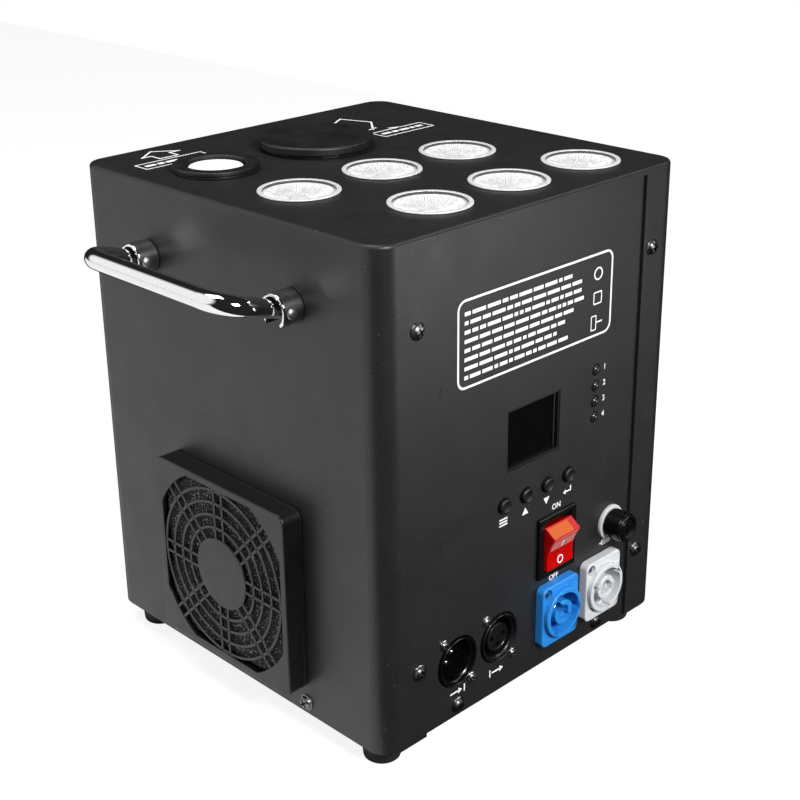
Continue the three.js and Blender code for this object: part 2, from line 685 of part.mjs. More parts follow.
function nozzleRing() {
  return turned('z', [outletX, outletY, top], [
    [outlet.boreRadius, -outlet.spigotDepth],
    [outlet.spigotRadius, -outlet.spigotDepth],
    [outlet.spigotRadius, gap],
    [outlet.washerRadius, gap],
    [outlet.washerRadius, gap + outlet.washerHeight],
    [outlet.ringRadius, gap + outlet.washerHeight],
    [outlet.ringRadius, outlet.ringHeight - outlet.ringEdge],
    [outlet.ringRadius - outlet.ringEdge, outlet.ringHeight],
    [outlet.boreRadius, outlet.ringHeight],
    [outlet.boreRadius, -outlet.spigotDepth]
  ], fine)
}

const nozzleOuter = outlet.boreRadius - gap
const nozzleBore = nozzleOuter - outlet.tubeWall

function nozzleTube() {
  const seat = chamberTop + gap
  return turned('z', [outletX, outletY, 0], [
    [nozzleBore, seat],
    [chamber.radius, seat],
    [chamber.radius, seat + outlet.flangeThickness],
    [nozzleOuter, seat + outlet.flangeThickness],
    [nozzleOuter, top],
    [nozzleBore, top],
    [nozzleBore, seat]
  ], fine)
}

function nozzleCap() {
  const plug = nozzleBore - gap
  return turned('z', [outletX, outletY, top + gap], [
    [0, -outlet.capPlug],
    [plug, -outlet.capPlug],
    [plug, 0],
    [outlet.capRadius, 0],
    [outlet.capRadius, outlet.capHeight],
    [0, outlet.capHeight]
  ], fine)
}

// The heater's body on its folded stand, with an air port low down and a powder port above it
function heatingChamber() {
  const x = outletX
  const y = outletY
  const body = rod('z', x, y, chamber.radius, chamberBase, chamberTop, fine)
  const plateUnder = chamberBase - chamber.plate
  const sideX = x + chamber.radius - chamber.plate
  const sideY = y + chamber.radius - chamber.plate
  const plate = block(x - chamber.plateReach, x + chamber.radius, y - chamber.plateReach,
    y + chamber.radius, plateUnder, chamberBase + over)
  const floorTop = floor + gap
  const sideLeg = block(sideX, x + chamber.radius, y - chamber.plateReach, y + chamber.radius,
    floorTop, chamberBase)
  const rearLeg = block(x, x + chamber.radius, sideY, y + chamber.radius, floorTop, chamberBase)
  const footPlate = block(x + chamber.radius - chamber.footReach, x + chamber.radius, y,
    y + chamber.radius, floorTop, floorTop + chamber.plate)
  const bore = rod('z', x, y, chamber.boreRadius, chamberBase + chamber.floor, chamberTop + over, plain)
  const airPort = rod('x', y, ductLevel, chamber.airPort, x, x + chamber.radius + over, plain)
  const powderPort = rod('x', y, base + feed.height, chamber.powderPort, x, x + chamber.radius + over, plain)
  return cut(join(body, plate, sideLeg, rearLeg, footPlate), bore, airPort, powderPort)
}

const rimTop = top + gap + hopper.rimHeight
const feedLevel = base + feed.height
const feedStart = outletX + chamber.radius + gap
const feedEnd = hopperX + feed.past

function hopperLid() {
  const seat = rimTop + gap
  const lidTop = top + lid.height
  return turned('z', [hopperX, hopperY, 0], [
    [0, seat],
    [lid.plugRadius - lid.plugWall, seat],
    [lid.plugRadius - lid.plugWall, top - lid.plugDepth],
    [lid.plugRadius, top - lid.plugDepth],
    [lid.plugRadius, seat],
    [lid.radius, seat],
    [lid.radius, lidTop - lid.edge],
    [lid.radius - lid.edge, lidTop],
    [0, lidTop]
  ], fine)
}

// Funnel under the lid, joined to the level tube that leads to the heater
function hopperSolid() {
  const centre = [hopperX, hopperY, 0]
  const neckEnd = top - hopper.neckDepth
  const outside = turned('z', centre, [
    [0, feedLevel],
    [feed.tubeRadius, feedLevel],
    [hopper.neckRadius, neckEnd],
    [hopper.neckRadius, top + gap],
    [hopper.rimRadius, top + gap],
    [hopper.rimRadius, rimTop],
    [0, rimTop]
  ], fine)
  const innerRadius = hopper.neckRadius - hopper.wall
  const inside = turned('z', centre, [
    [0, feedLevel],
    [hopper.throatRadius, feedLevel],
    [innerRadius, neckEnd],
    [innerRadius, rimTop + over],
    [0, rimTop + over]
  ], fine)
  const feedTube = rod('x', hopperY, feedLevel, feed.tubeRadius, feedStart, feedEnd, plain)
  const flange = rod('x', hopperY, feedLevel, feed.flangeRadius, feedEnd - feed.endWall, feedEnd, plain)
  const bore = rod('x', hopperY, feedLevel, feed.boreRadius, feedStart - over, feedEnd - feed.endWall, plain)
  const shaftHole = rod('x', hopperY, feedLevel, feed.shaftRadius + gap, feedStart, feedEnd + over, coarse)
  return cut(join(outside, feedTube, flange), inside, bore, shaftHole)
}

// A helical band round the feed screw's core
function flightSolid(from, to) {
  const turns = (to - from - feed.flightWidth) / feed.flightPitch
  const steps = Math.round(turns * feed.stepsPerTurn)
  const places = []
  for (let i = 0; i <= steps; i += 1) {
    const turn = 2 * Math.PI * turns * i / steps
    const x = from + turns * feed.flightPitch * i / steps
    for (const [radius, side] of [[feed.coreRadius / 2, 0], [feed.flightRadius, 0],
      [feed.flightRadius, feed.flightWidth], [feed.coreRadius / 2, feed.flightWidth]]) {
      places.push(x + side, hopperY + radius * Math.cos(turn), feedLevel + radius * Math.sin(turn))
    }
  }
  const corners = [0, 1, 2, 0, 2, 3]
  for (let i = 0; i < steps; i += 1) {
    for (let k = 0; k < 4; k += 1) {
      const a = 4 * i + k
      const b = 4 * i + (k + 1) % 4
      corners.push(a, a + 4, b, b, a + 4, b + 4)
    }
  }
  const last = 4 * steps
  corners.push(last, last + 2, last + 1, last, last + 3, last + 2)
  const geometry = new THREE.BufferGeometry()
  geometry.setAttribute('position', new THREE.Float32BufferAttribute(places, 3))
  geometry.setIndex(corners)
  return toSolid(geometry)
}

function feedAuger() {
  const start = feedStart + gap
  const end = feedEnd - feed.endWall - gap
  const core = rod('x', hopperY, feedLevel, feed.coreRadius, start, end, coarse)
  const shaft = rod('x', hopperY, feedLevel, feed.shaftRadius, end - over, feedEnd + feed.shaftReach, coarse)
  return join(core, shaft, flightSolid(start, end))
}

function feedMotor() {
  const start = feedEnd + gap
  const can = rod('x', hopperY, feedLevel, feed.motorRadius, start, start + feed.motorLength, plain)
  const bore = rod('x', hopperY, feedLevel, feed.shaftRadius + gap, start - over,
    start + feed.shaftReach + feed.coupling, coarse)
  return cut(can, bore)
}

// Volute with its outlet duct, motor can and legs
const blowerLevel = base + blower.height
const blowerFront = hopperY - blower.width / 2
const blowerBack = hopperY + blower.width / 2

function blowerHousing() {
  const wall = blower.wall
  const half = blower.ductSide / 2
  const duct = block(feedStart, blowerX, hopperY - half, hopperY + half, ductLevel - half, ductLevel + half)
  const ductHollow = block(feedStart - over, blowerX, hopperY - half + wall, hopperY + half - wall,
    ductLevel - half + wall, ductLevel + half - wall)
  const scroll = rod('y', blowerX, blowerLevel, blower.radius, blowerFront, blowerBack, fine)
  const scrollHollow = rod('y', blowerX, blowerLevel, blower.radius - wall, blowerFront + wall,
    blowerBack - wall, fine)
  const inlet = rod('y', blowerX, blowerLevel, blower.inletRadius, blowerFront - over,
    blowerFront + wall + over, plain)
  const can = rod('y', blowerX, blowerLevel, blower.motorRadius, blowerBack - wall / 2,
    blowerBack + blower.motorLength, plain)
  const bore = rod('y', blowerX, blowerLevel, blower.shaftRadius + gap, blowerBack - wall - over,
    blowerBack + blower.motorLength - wall, plain)
  const legs = [-1, 1].map(side => block(blowerX + side * blower.legHalf - blower.legWidth / 2,
    blowerX + side * blower.legHalf + blower.legWidth / 2, hopperY - blower.legDepth / 2,
    hopperY + blower.legDepth / 2, floor + gap, blowerLevel - blower.legDrop))
  return cut(join(scroll, duct, can, ...legs), scrollHollow, ductHollow, inlet, bore)
}

function blowerImpeller() {
  const discBack = blowerBack - blower.wall - gap
  const discFace = discBack - blower.wheelDisc
  const wheelFront = discBack - blower.wheelWidth
  const disc = rod('y', blowerX, blowerLevel, blower.wheelRadius, discFace, discBack, fine)
  const ring = tube('y', blowerX, blowerLevel, blower.wheelRadius, blower.wheelRadius - blower.ringWidth,
    wheelFront, wheelFront + blower.wheelDisc, fine)
  const shaft = rod('y', blowerX, blowerLevel, blower.shaftRadius, discFace - blower.ringWidth,
    blowerBack + blower.motorLength - blower.wall - gap, coarse)
  const blades = Array.from({ length: blower.blades }, (_, i) => {
    const geometry = new THREE.BoxGeometry(blower.bladeLength, blower.wheelWidth - gap, blower.bladeThickness)
    geometry.translate(blower.wheelRadius - blower.ringWidth / 2 - blower.bladeLength / 2, 0, 0)
    geometry.rotateY(2 * Math.PI * i / blower.blades)
    geometry.translate(blowerX, discBack - (blower.wheelWidth + gap) / 2, blowerLevel)
    return toSolid(geometry)
  })
  return join(disc, ring, shaft, ...blades)
}

const supplyFloor = floor + gap
const supplyTop = supplyFloor + supply.height
const supplyFront = front + supply.startY

// A closed steel box with a step for its terminal block
function powerSupply() {
  const box = block(supplyStart, supplyEnd, supplyFront, supplyFront + supply.width, supplyFloor, supplyTop)
  const stepFloor = supplyFloor + supply.height - supply.stepHeight
  const step = block(supplyStart - over, supplyStart + supply.stepLength, supplyFront - over,
    supplyFront + supply.width + over, stepFloor, supplyTop + over)
  const terminals = block(supplyStart + supply.blockInset - supply.blockLength / 2,
    supplyStart + supply.blockInset + supply.blockLength / 2, supplyFront + supply.blockInset,
    supplyFront + supply.width - supply.blockInset, stepFloor - over, stepFloor + supply.blockHeight)
  return join(cut(box, step), terminals)
}

// A board with relays and capacitors, standing on the power supply
function controlBoard() {
  const x0 = supplyStart + supply.stepLength + control.inset
  const x1 = supplyEnd
  const y0 = supplyFront + gap
  const y1 = supplyFront + supply.width - gap
  const under = supplyTop + control.rise
  const upper = under + control.thickness
  const board = block(x0, x1, y0, y1, under, upper)
  const legs = [x0 + control.standoffInset, x1 - control.standoffInset].flatMap(
    x => [y0 + control.standoffInset, y1 - control.standoffInset].map(
      y => rod('z', x, y, control.standoffRadius, supplyTop + gap, under + control.thickness / 2, hex)))
  const relays = Array.from({ length: control.relays }, (_, i) => {
    const x = x0 + control.partInset + i * control.pitch
    const y = y0 + control.partInset
    return block(x, x + control.relayLength, y, y + control.relayWidth, upper - gap,
      upper + control.relayHeight)
  })
  const caps = [1, 2].map(i => rod('z', x0 + i * control.pitch, y1 - control.partInset,
    control.capRadius, upper - gap, upper + control.capHeight, plain))
  return join(board, ...legs, ...relays, ...caps)
}

function displayBoard() {
  const face = displayBoardFace
  const holes = markPlaces.map(([x, z]) => circle(x, z, display.pinRadius + gap, coarse))
  const board = slab('y', rectangle(display.startX, base + display.startZ, display.endX,
    base + display.endZ), holes, face, face + display.thickness)
  const half = display.keySide / 2
  const z = base + button.height
  const keys = buttonPlaces.flatMap(x => [
    block(x - half, x + half, face - display.keyHeight, face + display.thickness / 2, z - half, z + half),
    rod('y', x, z, display.plungerRadius, face - display.keyHeight - display.plunger, face, coarse)
  ])
  return join(board, ...keys)
}

function displayModule() {
  const { windowX: x, windowWidth: width, windowHeight: height } = display
  const z = base + display.windowZ
  const borderX = width / 2 + display.moduleBorder
  const borderZ = height / 2 + display.moduleBorder
  const box = block(x - borderX, x + borderX, panelInside + gap, displayBoardFace - gap,
    z - borderZ, z + borderZ)
  const bezelX = width / 2 - gap
  const bezelZ = height / 2 - gap
  const bezel = block(x - bezelX, x + bezelX, panelFace + display.bezelBack, panelInside + over,
    z - bezelZ, z + bezelZ)
  const paneX = bezelX - display.bezelBorder
  const paneZ = bezelZ - display.bezelBorder
  const recess = block(x - paneX, x + paneX, panelFace - over,
    panelFace + display.bezelBack + display.bezelDepth, z - paneZ, z + paneZ)
  return cut(join(box, bezel), recess)
}

// Four lamps on one rail that stands on the display board
function indicatorLights() {
  const rear = displayBoardFace - gap
  const lamps = lightLevels.map(z => turned('y', [light.x, 0, z], [
    [0, front + light.apex],
    [light.radius * domeShare, front + light.apex + light.radius * (1 - domeShare)],
    [light.radius, front + light.apex + light.radius],
    [light.radius, rear],
    [0, rear]
  ], small))
  const half = light.rail / 2
  const rail = block(light.x - half, light.x + half, rear - light.railDepth, rear,
    Math.min(...lightLevels) - half, Math.max(...lightLevels) + half)
  return join(rail, ...lamps)
}

// A push button whose flange is held behind the panel
function buttonSolid() {
  const flangeFace = wallInset + sheet + gap
  const capFace = wallInset - button.rise
  const stemEnd = flangeFace - gap + display.standoff + gap - display.keyHeight - display.plunger -
    button.travel - gap
  return turned('y', [0, 0, 0], [
    [0, capFace],
    ...capShares.map(([side, rise]) => [button.radius * side, capFace + button.rise * rise]),
    [button.radius, flangeFace],
    [button.flangeRadius, flangeFace],
    [button.flangeRadius, flangeFace + button.flange],
    [button.stemRadius, flangeFace + button.flange],
    [button.stemRadius, stemEnd],
    [0, stemEnd]
  ], plain)
}

const rockerLevel = base + rocker.height
const pivotLevel = rockerLevel - rocker.pivotDrop
const pivotY = front + rocker.pivotIn

function switchBody() {
  const x = rocker.x
  const z = rockerLevel
  const bezelFace = panelFace - gap - rocker.bezelFront
  const bodyEnd = panelFace + rocker.bodyDepth
  const bezel = block(x - rocker.bezelWidth / 2, x + rocker.bezelWidth / 2, bezelFace, panelFace - gap,
    z - rocker.bezelHeight / 2, z + rocker.bezelHeight / 2)
  const body = block(x - rocker.bodyWidth / 2, x + rocker.bodyWidth / 2, panelFace - gap - over / 2, bodyEnd,
    z - rocker.bodyHeight / 2, z + rocker.bodyHeight / 2)
  const cavity = block(x - rocker.cavityWidth / 2, x + rocker.cavityWidth / 2, bezelFace - over,
    panelFace + rocker.cavityDepth, z - rocker.cavityHeight / 2, z + rocker.cavityHeight / 2)
  const pinHole = rod('x', pivotY, pivotLevel, rocker.pinRadius + gap, x - rocker.bodyWidth / 2 - over,
    x + rocker.bodyWidth / 2 + over, coarse)
  const blades = [-1, 0, 1].map(i => block(x - rocker.bladeWidth / 2, x + rocker.bladeWidth / 2,
    bodyEnd - over, bodyEnd + rocker.bladeLength, z + i * rocker.bladeSpacing - rocker.bladeThickness / 2,
    z + i * rocker.bladeSpacing + rocker.bladeThickness / 2))
  return join(cut(join(bezel, body), cavity, pinHole), ...blades)
}

// The rocker's hollow face between its two noses, with its pivot pins
function rockerSolid() {
  const steps = 3
  const hollowPower = 1.6
  const curve = Array.from({ length: 2 * steps + 1 }, (_, i) => {
    const share = i / steps - 1
    const out = rocker.valleyOut + (rocker.noseOut - rocker.valleyOut) * Math.abs(share) ** hollowPower
    return new THREE.Vector2(-out, share * rocker.noseUp)
  })
  const outline = [
    ...curve,
    new THREE.Vector2(-rocker.topOut, rocker.topUp),
    new THREE.Vector2(rocker.backIn, rocker.backUp),
    new THREE.Vector2(rocker.backIn, -rocker.backUp),
    new THREE.Vector2(-rocker.topOut, -rocker.topUp)
  ]
  const half = rocker.cavityWidth / 2 - gap
  const reach = half + rocker.pinReach
  return join(slab('x', outline, [], -half, half), rod('x', 0, 0, rocker.pinRadius, -reach, reach, coarse))
}

function fuseHolder() {
  const ringFace = panelFace - gap - fuse.ringHeight
  const boreEnd = front + fuse.start + fuse.length + gap
  return turned('y', [fuse.x, 0, base + fuse.height], [
    [0, front + fuse.bodyEnd],
    [fuse.bodyRadius, front + fuse.bodyEnd],
    [fuse.bodyRadius, panelFace - gap],
    [fuse.ringRadius, panelFace - gap],
    [fuse.ringRadius, ringFace + fuse.ringEdge],
    [fuse.ringRadius - fuse.ringEdge, ringFace],
    [fuse.mouthRadius, ringFace],
    [fuse.mouthRadius, front + fuse.mouthEnd],
    [fuse.radius + gap, front + fuse.mouthEnd],
    [fuse.radius + gap, boreEnd],
    [0, boreEnd]
  ], plain)
}

// The knob holds the fuse's end in its stem, and has a cross slot in its face
function fuseCap() {
  const face = front - fuse.knobReach
  const knobBack = panelFace - gap - fuse.ringHeight - gap
  const stem = fuse.mouthRadius - gap
  const z = base + fuse.height
  const knob = turned('y', [fuse.x, 0, z], [
    [0, front + fuse.start - gap],
    [fuse.radius + gap, front + fuse.start - gap],
    [fuse.radius + gap, front + fuse.stemEnd],
    [stem, front + fuse.stemEnd],
    [stem, knobBack],
    [fuse.knobRadius, knobBack],
    [fuse.knobRadius, face + fuse.knobEdge],
    [fuse.knobRadius - fuse.knobEdge, face],
    [fuse.knobRadius - fuse.rimWidth, face],
    [fuse.knobRadius - fuse.rimWidth, face + fuse.rimDepth],
    [0, face + fuse.rimDepth]
  ], plain)
  const half = fuse.slotLength / 2
  const thin = fuse.slotWidth / 2
  const slotEnd = face + fuse.rimDepth + fuse.slotDepth
  const level = block(fuse.x - half, fuse.x + half, face - over, slotEnd, z - thin, z + thin)
  const upright = block(fuse.x - thin, fuse.x + thin, face - over, slotEnd, z - half, z + half)
  return cut(knob, level, upright)
}

function fuseSolid() {
  return rod('y', fuse.x, base + fuse.height, fuse.radius, front + fuse.start,
    front + fuse.start + fuse.length, small)
}

// Round signal socket with its flange behind the panel; y counts from the panel's face
function dmxShell() {
  const shell = turned('y', [0, 0, 0], [
    [0, -dmx.proud],
    [dmx.radius - dmx.edge, -dmx.proud],
    [dmx.radius, -dmx.proud + dmx.edge],
    [dmx.radius, dmx.depth],
    [0, dmx.depth]
  ], fine)
  const flange = block(-dmx.flangeWidth / 2, dmx.flangeWidth / 2, sheet + gap, sheet + gap + dmx.flange,
    -dmx.flangeHeight / 2, dmx.flangeHeight / 2)
  return join(shell, flange)
}

// One pin on each side and one below
const pinTurns = [0, Math.PI, Math.PI * 3 / 2]
const pinPlaces = pinTurns.map(turn => [dmx.pinCircle * Math.cos(turn), dmx.pinCircle * Math.sin(turn)])

function dmxIn() {
  const bowl = rod('y', 0, 0, dmx.bowlRadius, -dmx.proud - over, dmx.bowlDepth, fine)
  const pins = pinPlaces.map(([x, z]) => rod('y', x, z, dmx.pinRadius, dmx.bowlDepth - dmx.pinLength,
    dmx.bowlDepth + over, coarse))
  return join(cut(dmxShell(), bowl), ...pins)
}

function dmxOut() {
  const groove = tube('y', 0, 0, dmx.bowlRadius, dmx.insertRadius, -dmx.proud - over, dmx.bowlDepth, fine)
  const holes = pinPlaces.map(([x, z]) => rod('y', x, z, dmx.socketRadius, -dmx.proud - over,
    dmx.socketDepth, coarse))
  const latch = block(-dmx.latchHalf, dmx.latchHalf, -dmx.proud - over, dmx.latchDepth,
    dmx.insertRadius, dmx.latchReach)
  return cut(dmxShell(), groove, latch, ...holes)
}

// Locking mains socket with its flange in front of the panel; y counts from the panel's face
function mainsSocket(slotTurn) {
  const flangeFace = -gap - mains.flange
  const collarFace = flangeFace - mains.collar
  const flange = slab('y', rounded(-mains.width / 2, -mains.tall / 2, mains.width / 2, mains.tall / 2,
    mains.corner), [], flangeFace, -gap)
  const body = turned('y', [0, 0, 0], [
    [0, collarFace],
    [mains.collarRadius - mains.collarEdge, collarFace],
    [mains.collarRadius, collarFace + mains.collarEdge],
    [mains.collarRadius, flangeFace + gap],
    [mains.bodyRadius, flangeFace + gap],
    [mains.bodyRadius, mains.depth],
    [0, mains.depth]
  ], fine)
  const bore = rod('y', 0, 0, mains.boreRadius, collarFace - over, collarFace + mains.boreDepth, fine)
  const coreFace = collarFace + mains.coreBack
  const core = rod('y', 0, 0, mains.coreRadius, coreFace, collarFace + mains.boreDepth + over, plain)
  const slotPoints = rectangle(-mains.coreRadius - over, -mains.slotWidth / 2, mains.coreRadius / 2,
    mains.slotWidth / 2)
  slotPoints.forEach(point => point.rotateAround(new THREE.Vector2(0, 0), slotTurn))
  const slot = slab('y', slotPoints, [], coreFace - over, coreFace + mains.slotDepth)
  return join(cut(join(flange, body), bore), cut(core, slot))
}

// Case
add(machine, 'outer_cover', outerCover(), looks.powderCoat)
add(machine, 'front_panel', frontPanel(), looks.powderCoat)
add(machine, 'rear_panel', rearPanel(), looks.powderCoat)
add(machine, 'base_plate', basePlate(), looks.powderCoat)
for (const [name, x, y] of footPlaces) {
  add(machine, name, footSolid(), looks.rubber).position.set(x, y, 0)
}
buildHandle('left', left, Math.PI)
buildHandle('right', right, 0)
buildFan()

// Top
lensPlaces.forEach(([x, y], i) => {
  add(machine, `led_lens_${i + 1}`, lensSolid(), looks.clearPlastic).position.set(x, y, top)
})
add(machine, 'led_board', ledBoard(), looks.boardGreen)
add(machine, 'nozzle_ring', nozzleRing(), looks.blackPlastic)
add(machine, 'nozzle_tube', nozzleTube(), looks.brushedSteel)
add(machine, 'nozzle_cap', nozzleCap(), looks.ceramic)
add(machine, 'hopper_lid', hopperLid(), looks.blackPlastic)

// Inside
add(machine, 'hopper', hopperSolid(), looks.brushedSteel)
add(machine, 'feed_auger', feedAuger(), looks.brushedSteel)
add(machine, 'feed_motor', feedMotor(), looks.brushedSteel)
add(machine, 'heating_chamber', heatingChamber(), looks.brushedSteel)
add(machine, 'blower_housing', blowerHousing(), looks.blackPlastic)
add(machine, 'blower_impeller', blowerImpeller(), looks.blackPlastic)
add(machine, 'power_supply', powerSupply(), looks.zincSteel)
add(machine, 'control_board', controlBoard(), looks.boardGreen)
add(machine, 'display_board', displayBoard(), looks.boardGreen)
add(machine, 'display_module', displayModule(), looks.darkGlass)
add(machine, 'indicator_lights', indicatorLights(), looks.clearPlastic)

// Control panel
buttonPlaces.forEach((x, i) => {
  add(machine, `button_${i + 1}`, buttonSolid(), looks.whitePlastic)
    .position.set(x, front, base + button.height)
})
add(machine, 'switch_body', switchBody(), looks.blackPlastic)
const pivot = frameAt(machine, rocker.x, pivotY, pivotLevel)
pivot.rotation.x = rocker.tilt * Math.PI / 180
add(pivot, 'switch_rocker', rockerSolid(), looks.redPlastic)
add(machine, 'fuse_holder', fuseHolder(), looks.whitePlastic)
add(machine, 'fuse_cap', fuseCap(), looks.blackPlastic)
add(machine, 'fuse', fuseSolid(), looks.glass)
add(machine, 'dmx_in_socket', dmxIn(), looks.blackPlastic)
  .position.set(dmx.inX, panelFace, base + dmx.height)
add(machine, 'dmx_out_socket', dmxOut(), looks.blackPlastic)
  .position.set(dmx.outX, panelFace, base + dmx.height)
add(machine, 'mains_inlet', mainsSocket(Math.PI / 2), looks.bluePlastic)
  .position.set(mains.inX, panelFace, base + mains.height)
add(machine, 'mains_outlet', mainsSocket(0), looks.whitePlastic)
  .position.set(mains.outX, panelFace, base + mains.height)

export default machine
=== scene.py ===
# Cold spark machine: finished surfaces, fittings, prints and stage round its fixed frame.
# Sizes are in millimetres in the code and in metres in the settings, +Z up, panel facing -Y.
import math
import random

import bmesh
import bpy
from bpy.props import FloatProperty, FloatVectorProperty, IntProperty, PointerProperty
from mathutils import Matrix, Vector, noise


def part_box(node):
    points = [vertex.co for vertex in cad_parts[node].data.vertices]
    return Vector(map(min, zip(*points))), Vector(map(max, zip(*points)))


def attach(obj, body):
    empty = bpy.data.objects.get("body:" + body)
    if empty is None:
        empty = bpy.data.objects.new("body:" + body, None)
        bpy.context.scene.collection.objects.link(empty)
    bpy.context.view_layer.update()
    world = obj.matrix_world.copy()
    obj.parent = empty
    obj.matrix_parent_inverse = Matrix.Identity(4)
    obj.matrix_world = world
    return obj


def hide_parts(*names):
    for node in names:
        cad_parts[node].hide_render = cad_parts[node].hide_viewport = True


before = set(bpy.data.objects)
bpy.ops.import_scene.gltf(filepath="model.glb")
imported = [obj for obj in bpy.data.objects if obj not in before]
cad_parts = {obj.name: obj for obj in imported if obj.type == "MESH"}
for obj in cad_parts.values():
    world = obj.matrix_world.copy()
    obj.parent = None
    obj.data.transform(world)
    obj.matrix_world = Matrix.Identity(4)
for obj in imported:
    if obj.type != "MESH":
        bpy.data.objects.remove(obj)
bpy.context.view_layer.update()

bl_info = {
    "name": "Cold spark machine",
    "version": (1, 0, 0),
    "blender": (4, 5, 0),
    "location": "View3D > Sidebar > Spark machine",
    "description": "Finishes a cold spark machine round its fixed frame",
    "category": "Object",
}

MM = 0.001
WHOLE_TURN = 2 * math.pi
QUARTER_TURN = math.pi / 2

LENS_NODES = [f"led_lens_{i}" for i in range(1, 7)]
FOOT_NODES = [f"foot_{end}_{side}" for end in ("front", "rear") for side in ("left", "right")]
MAINS_SCREWS = ((-8.9, 11.4), (9.1, -11.9))

# The middle of the switch's bezel; its blades make its CAD node reach lower
SWITCH_LEVEL = 71.9

# Right, up and outward directions of each side of the case
SIDES = {
    "front": ((1, 0, 0), (0, 0, 1), (0, -1, 0)),
    "rear": ((-1, 0, 0), (0, 0, 1), (0, 1, 0)),
    "left": ((0, -1, 0), (0, 0, 1), (-1, 0, 0)),
    "right": ((0, 1, 0), (0, 0, 1), (1, 0, 0)),
    "top": ((1, 0, 0), (0, 1, 0), (0, 0, 1)),
    "under": ((1, 0, 0), (0, -1, 0), (0, 0, -1)),
}


def facing(side, x, y, z):
    """A place in the frame whose own Z axis points out of that side."""
    return Matrix.Translation((x, y, z)) @ Matrix(SIDES[side]).transposed().to_4x4()


def moved(place, u=0, v=0, w=0):
    """A place shifted along its own axes."""
    return place @ Matrix.Translation((u, v, w))


def spun(place, degrees, axis="Z"):
    """A place turned about one of its own axes."""
    return place @ Matrix.Rotation(math.radians(degrees), 4, axis)


def in_metres(place):
    """A place whose shift was in millimetres."""
    scaled = place.copy()
    scaled.translation = place.translation * MM
    return scaled


def node_box(node):
    """Lowest and highest corners of a CAD node in millimetres."""
    low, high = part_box(node)
    return low / MM, high / MM


def middle(node):
    low, high = node_box(node)
    return (low + high) / 2


def top_place(node):
    """A place on the cover's top, over the middle of a node."""
    spot = middle(node)
    return facing("top", spot.x, spot.y, node_box("outer_cover")[1].z)


def panel_place(x, z, y=None):
    """A place on the control panel, whose own Z points at the user."""
    return facing("front", x, node_box("front_panel")[0].y if y is None else y, z)


def panel_spot(node):
    """A place on the control panel, in front of the middle of a node."""
    return panel_place(middle(node).x, middle(node).z)


def lamp_levels():
    """Heights of the four indicator lamps."""
    first, pitch = node_box("indicator_lights")[1].z - 3, 7.55
    return [first - pitch * k for k in range(4)]


def linear(text):
    """An sRGB hex colour as linear red, green and blue."""
    parts = [int(text[i : i + 2], 16) / 255 for i in (0, 2, 4)]
    return tuple(c / 12.92 if c <= 0.04045 else ((c + 0.055) / 1.055) ** 2.4 for c in parts)


# Settings


def size(name, value, description):
    """A length setting, given in millimetres."""
    return FloatProperty(
        name=name, description=description, default=value * MM, min=0, unit="LENGTH", precision=5
    )


def angle(name, value, description):
    """An angle setting, given in degrees."""
    return FloatProperty(
        name=name, description=description, default=math.radians(value), subtype="ANGLE"
    )


def count(name, value, description, least):
    return IntProperty(name=name, description=description, default=value, min=least)


def colour(name, text, description):
    """A colour setting, given as sRGB hex."""
    return FloatVectorProperty(
        name=name, description=description, default=linear(text), size=3, min=0, max=1, subtype="COLOR"
    )


class CaseSettings(bpy.types.PropertyGroup):
    sheet: size("Sheet", 1.2, "Thickness of the folded steel")
    corner: size("Corner radius", 10, "Radius of the upright corners")
    bend: size("Bend radius", 1.7, "Radius of the fold between walls and top")
    opening: size("Opening width", 137.4, "Clear width between the front flanges")
    paint: colour("Paint", "1c1c1d", "Powder coat of the case")
    screw: size("Screw radius", 3.75, "Head radius of the case screws")


class HandleSettings(bpy.types.PropertyGroup):
    spacing: size("Spacing", 94, "Distance between the two legs")
    drop: size("Drop", 33, "Pivot below the top")
    reach: size("Reach", 27.8, "From the pivot to the bar's middle line")
    bend: size("Bend", 13, "Radius of the bar's bends")
    bar: size("Bar radius", 4.25, "Radius of the bar")
    leg: size("Leg radius", 3.7, "Radius of the legs in their cups")
    tilt: angle("Tilt", 16.3, "Rise of the handle at rest")
    cup: colour("Cup", "8a8a8c", "Finish of the cast cups")


class GuardSettings(bpy.types.PropertyGroup):
    disc: size("Disc radius", 16.8, "Radius of the middle disc")
    first: size("First ring", 21.85, "Middle radius of the first ring")
    pitch: size("Ring pitch", 5.95, "Step from ring to ring")
    width: size("Bar width", 1.0, "Width of rings and spokes")
    gap: size("Spoke spacing", 5.4, "Distance between the spokes of a pair")
    rings: count("Rings", 4, "Number of rings", 1)
    pairs: count("Spoke pairs", 8, "Number of spoke pairs", 2)
    plastic: colour("Plastic", "0d0d0e", "Moulded guard")


class LightSettings(bpy.types.PropertyGroup):
    ribs: count("Ribs", 60, "Ribs round each lens", 3)
    bowl: size("Bowl depth", 4.2, "Depth of the lens bowl")
    plastic: colour("Lens", "c9c9c8", "Moulded lens")


class PanelSettings(bpy.types.PropertyGroup):
    rocker: colour("Rocker", "b00402", "Translucent rocker")
    inlet: colour("Inlet", "2884d4", "Mains inlet")
    outlet: colour("Outlet", "cdcfd1", "Mains outlet")
    ink: colour("Ink", "f2f2f2", "Screen print")


class StageSettings(bpy.types.PropertyGroup):
    azimuth: angle("Azimuth", -44.186, "Camera's bearing")
    elevation: angle("Elevation", 21.639, "Camera's height")
    roll: angle("Roll", -0.751, "Camera's lean")
    camera: FloatVectorProperty(
        name="Camera", description="Place of the lens", default=(-0.4422, -0.456, 0.3906), subtype="XYZ"
    )
    floor: colour("Floor", "7c7c7c", "Plain floor, which also glows")


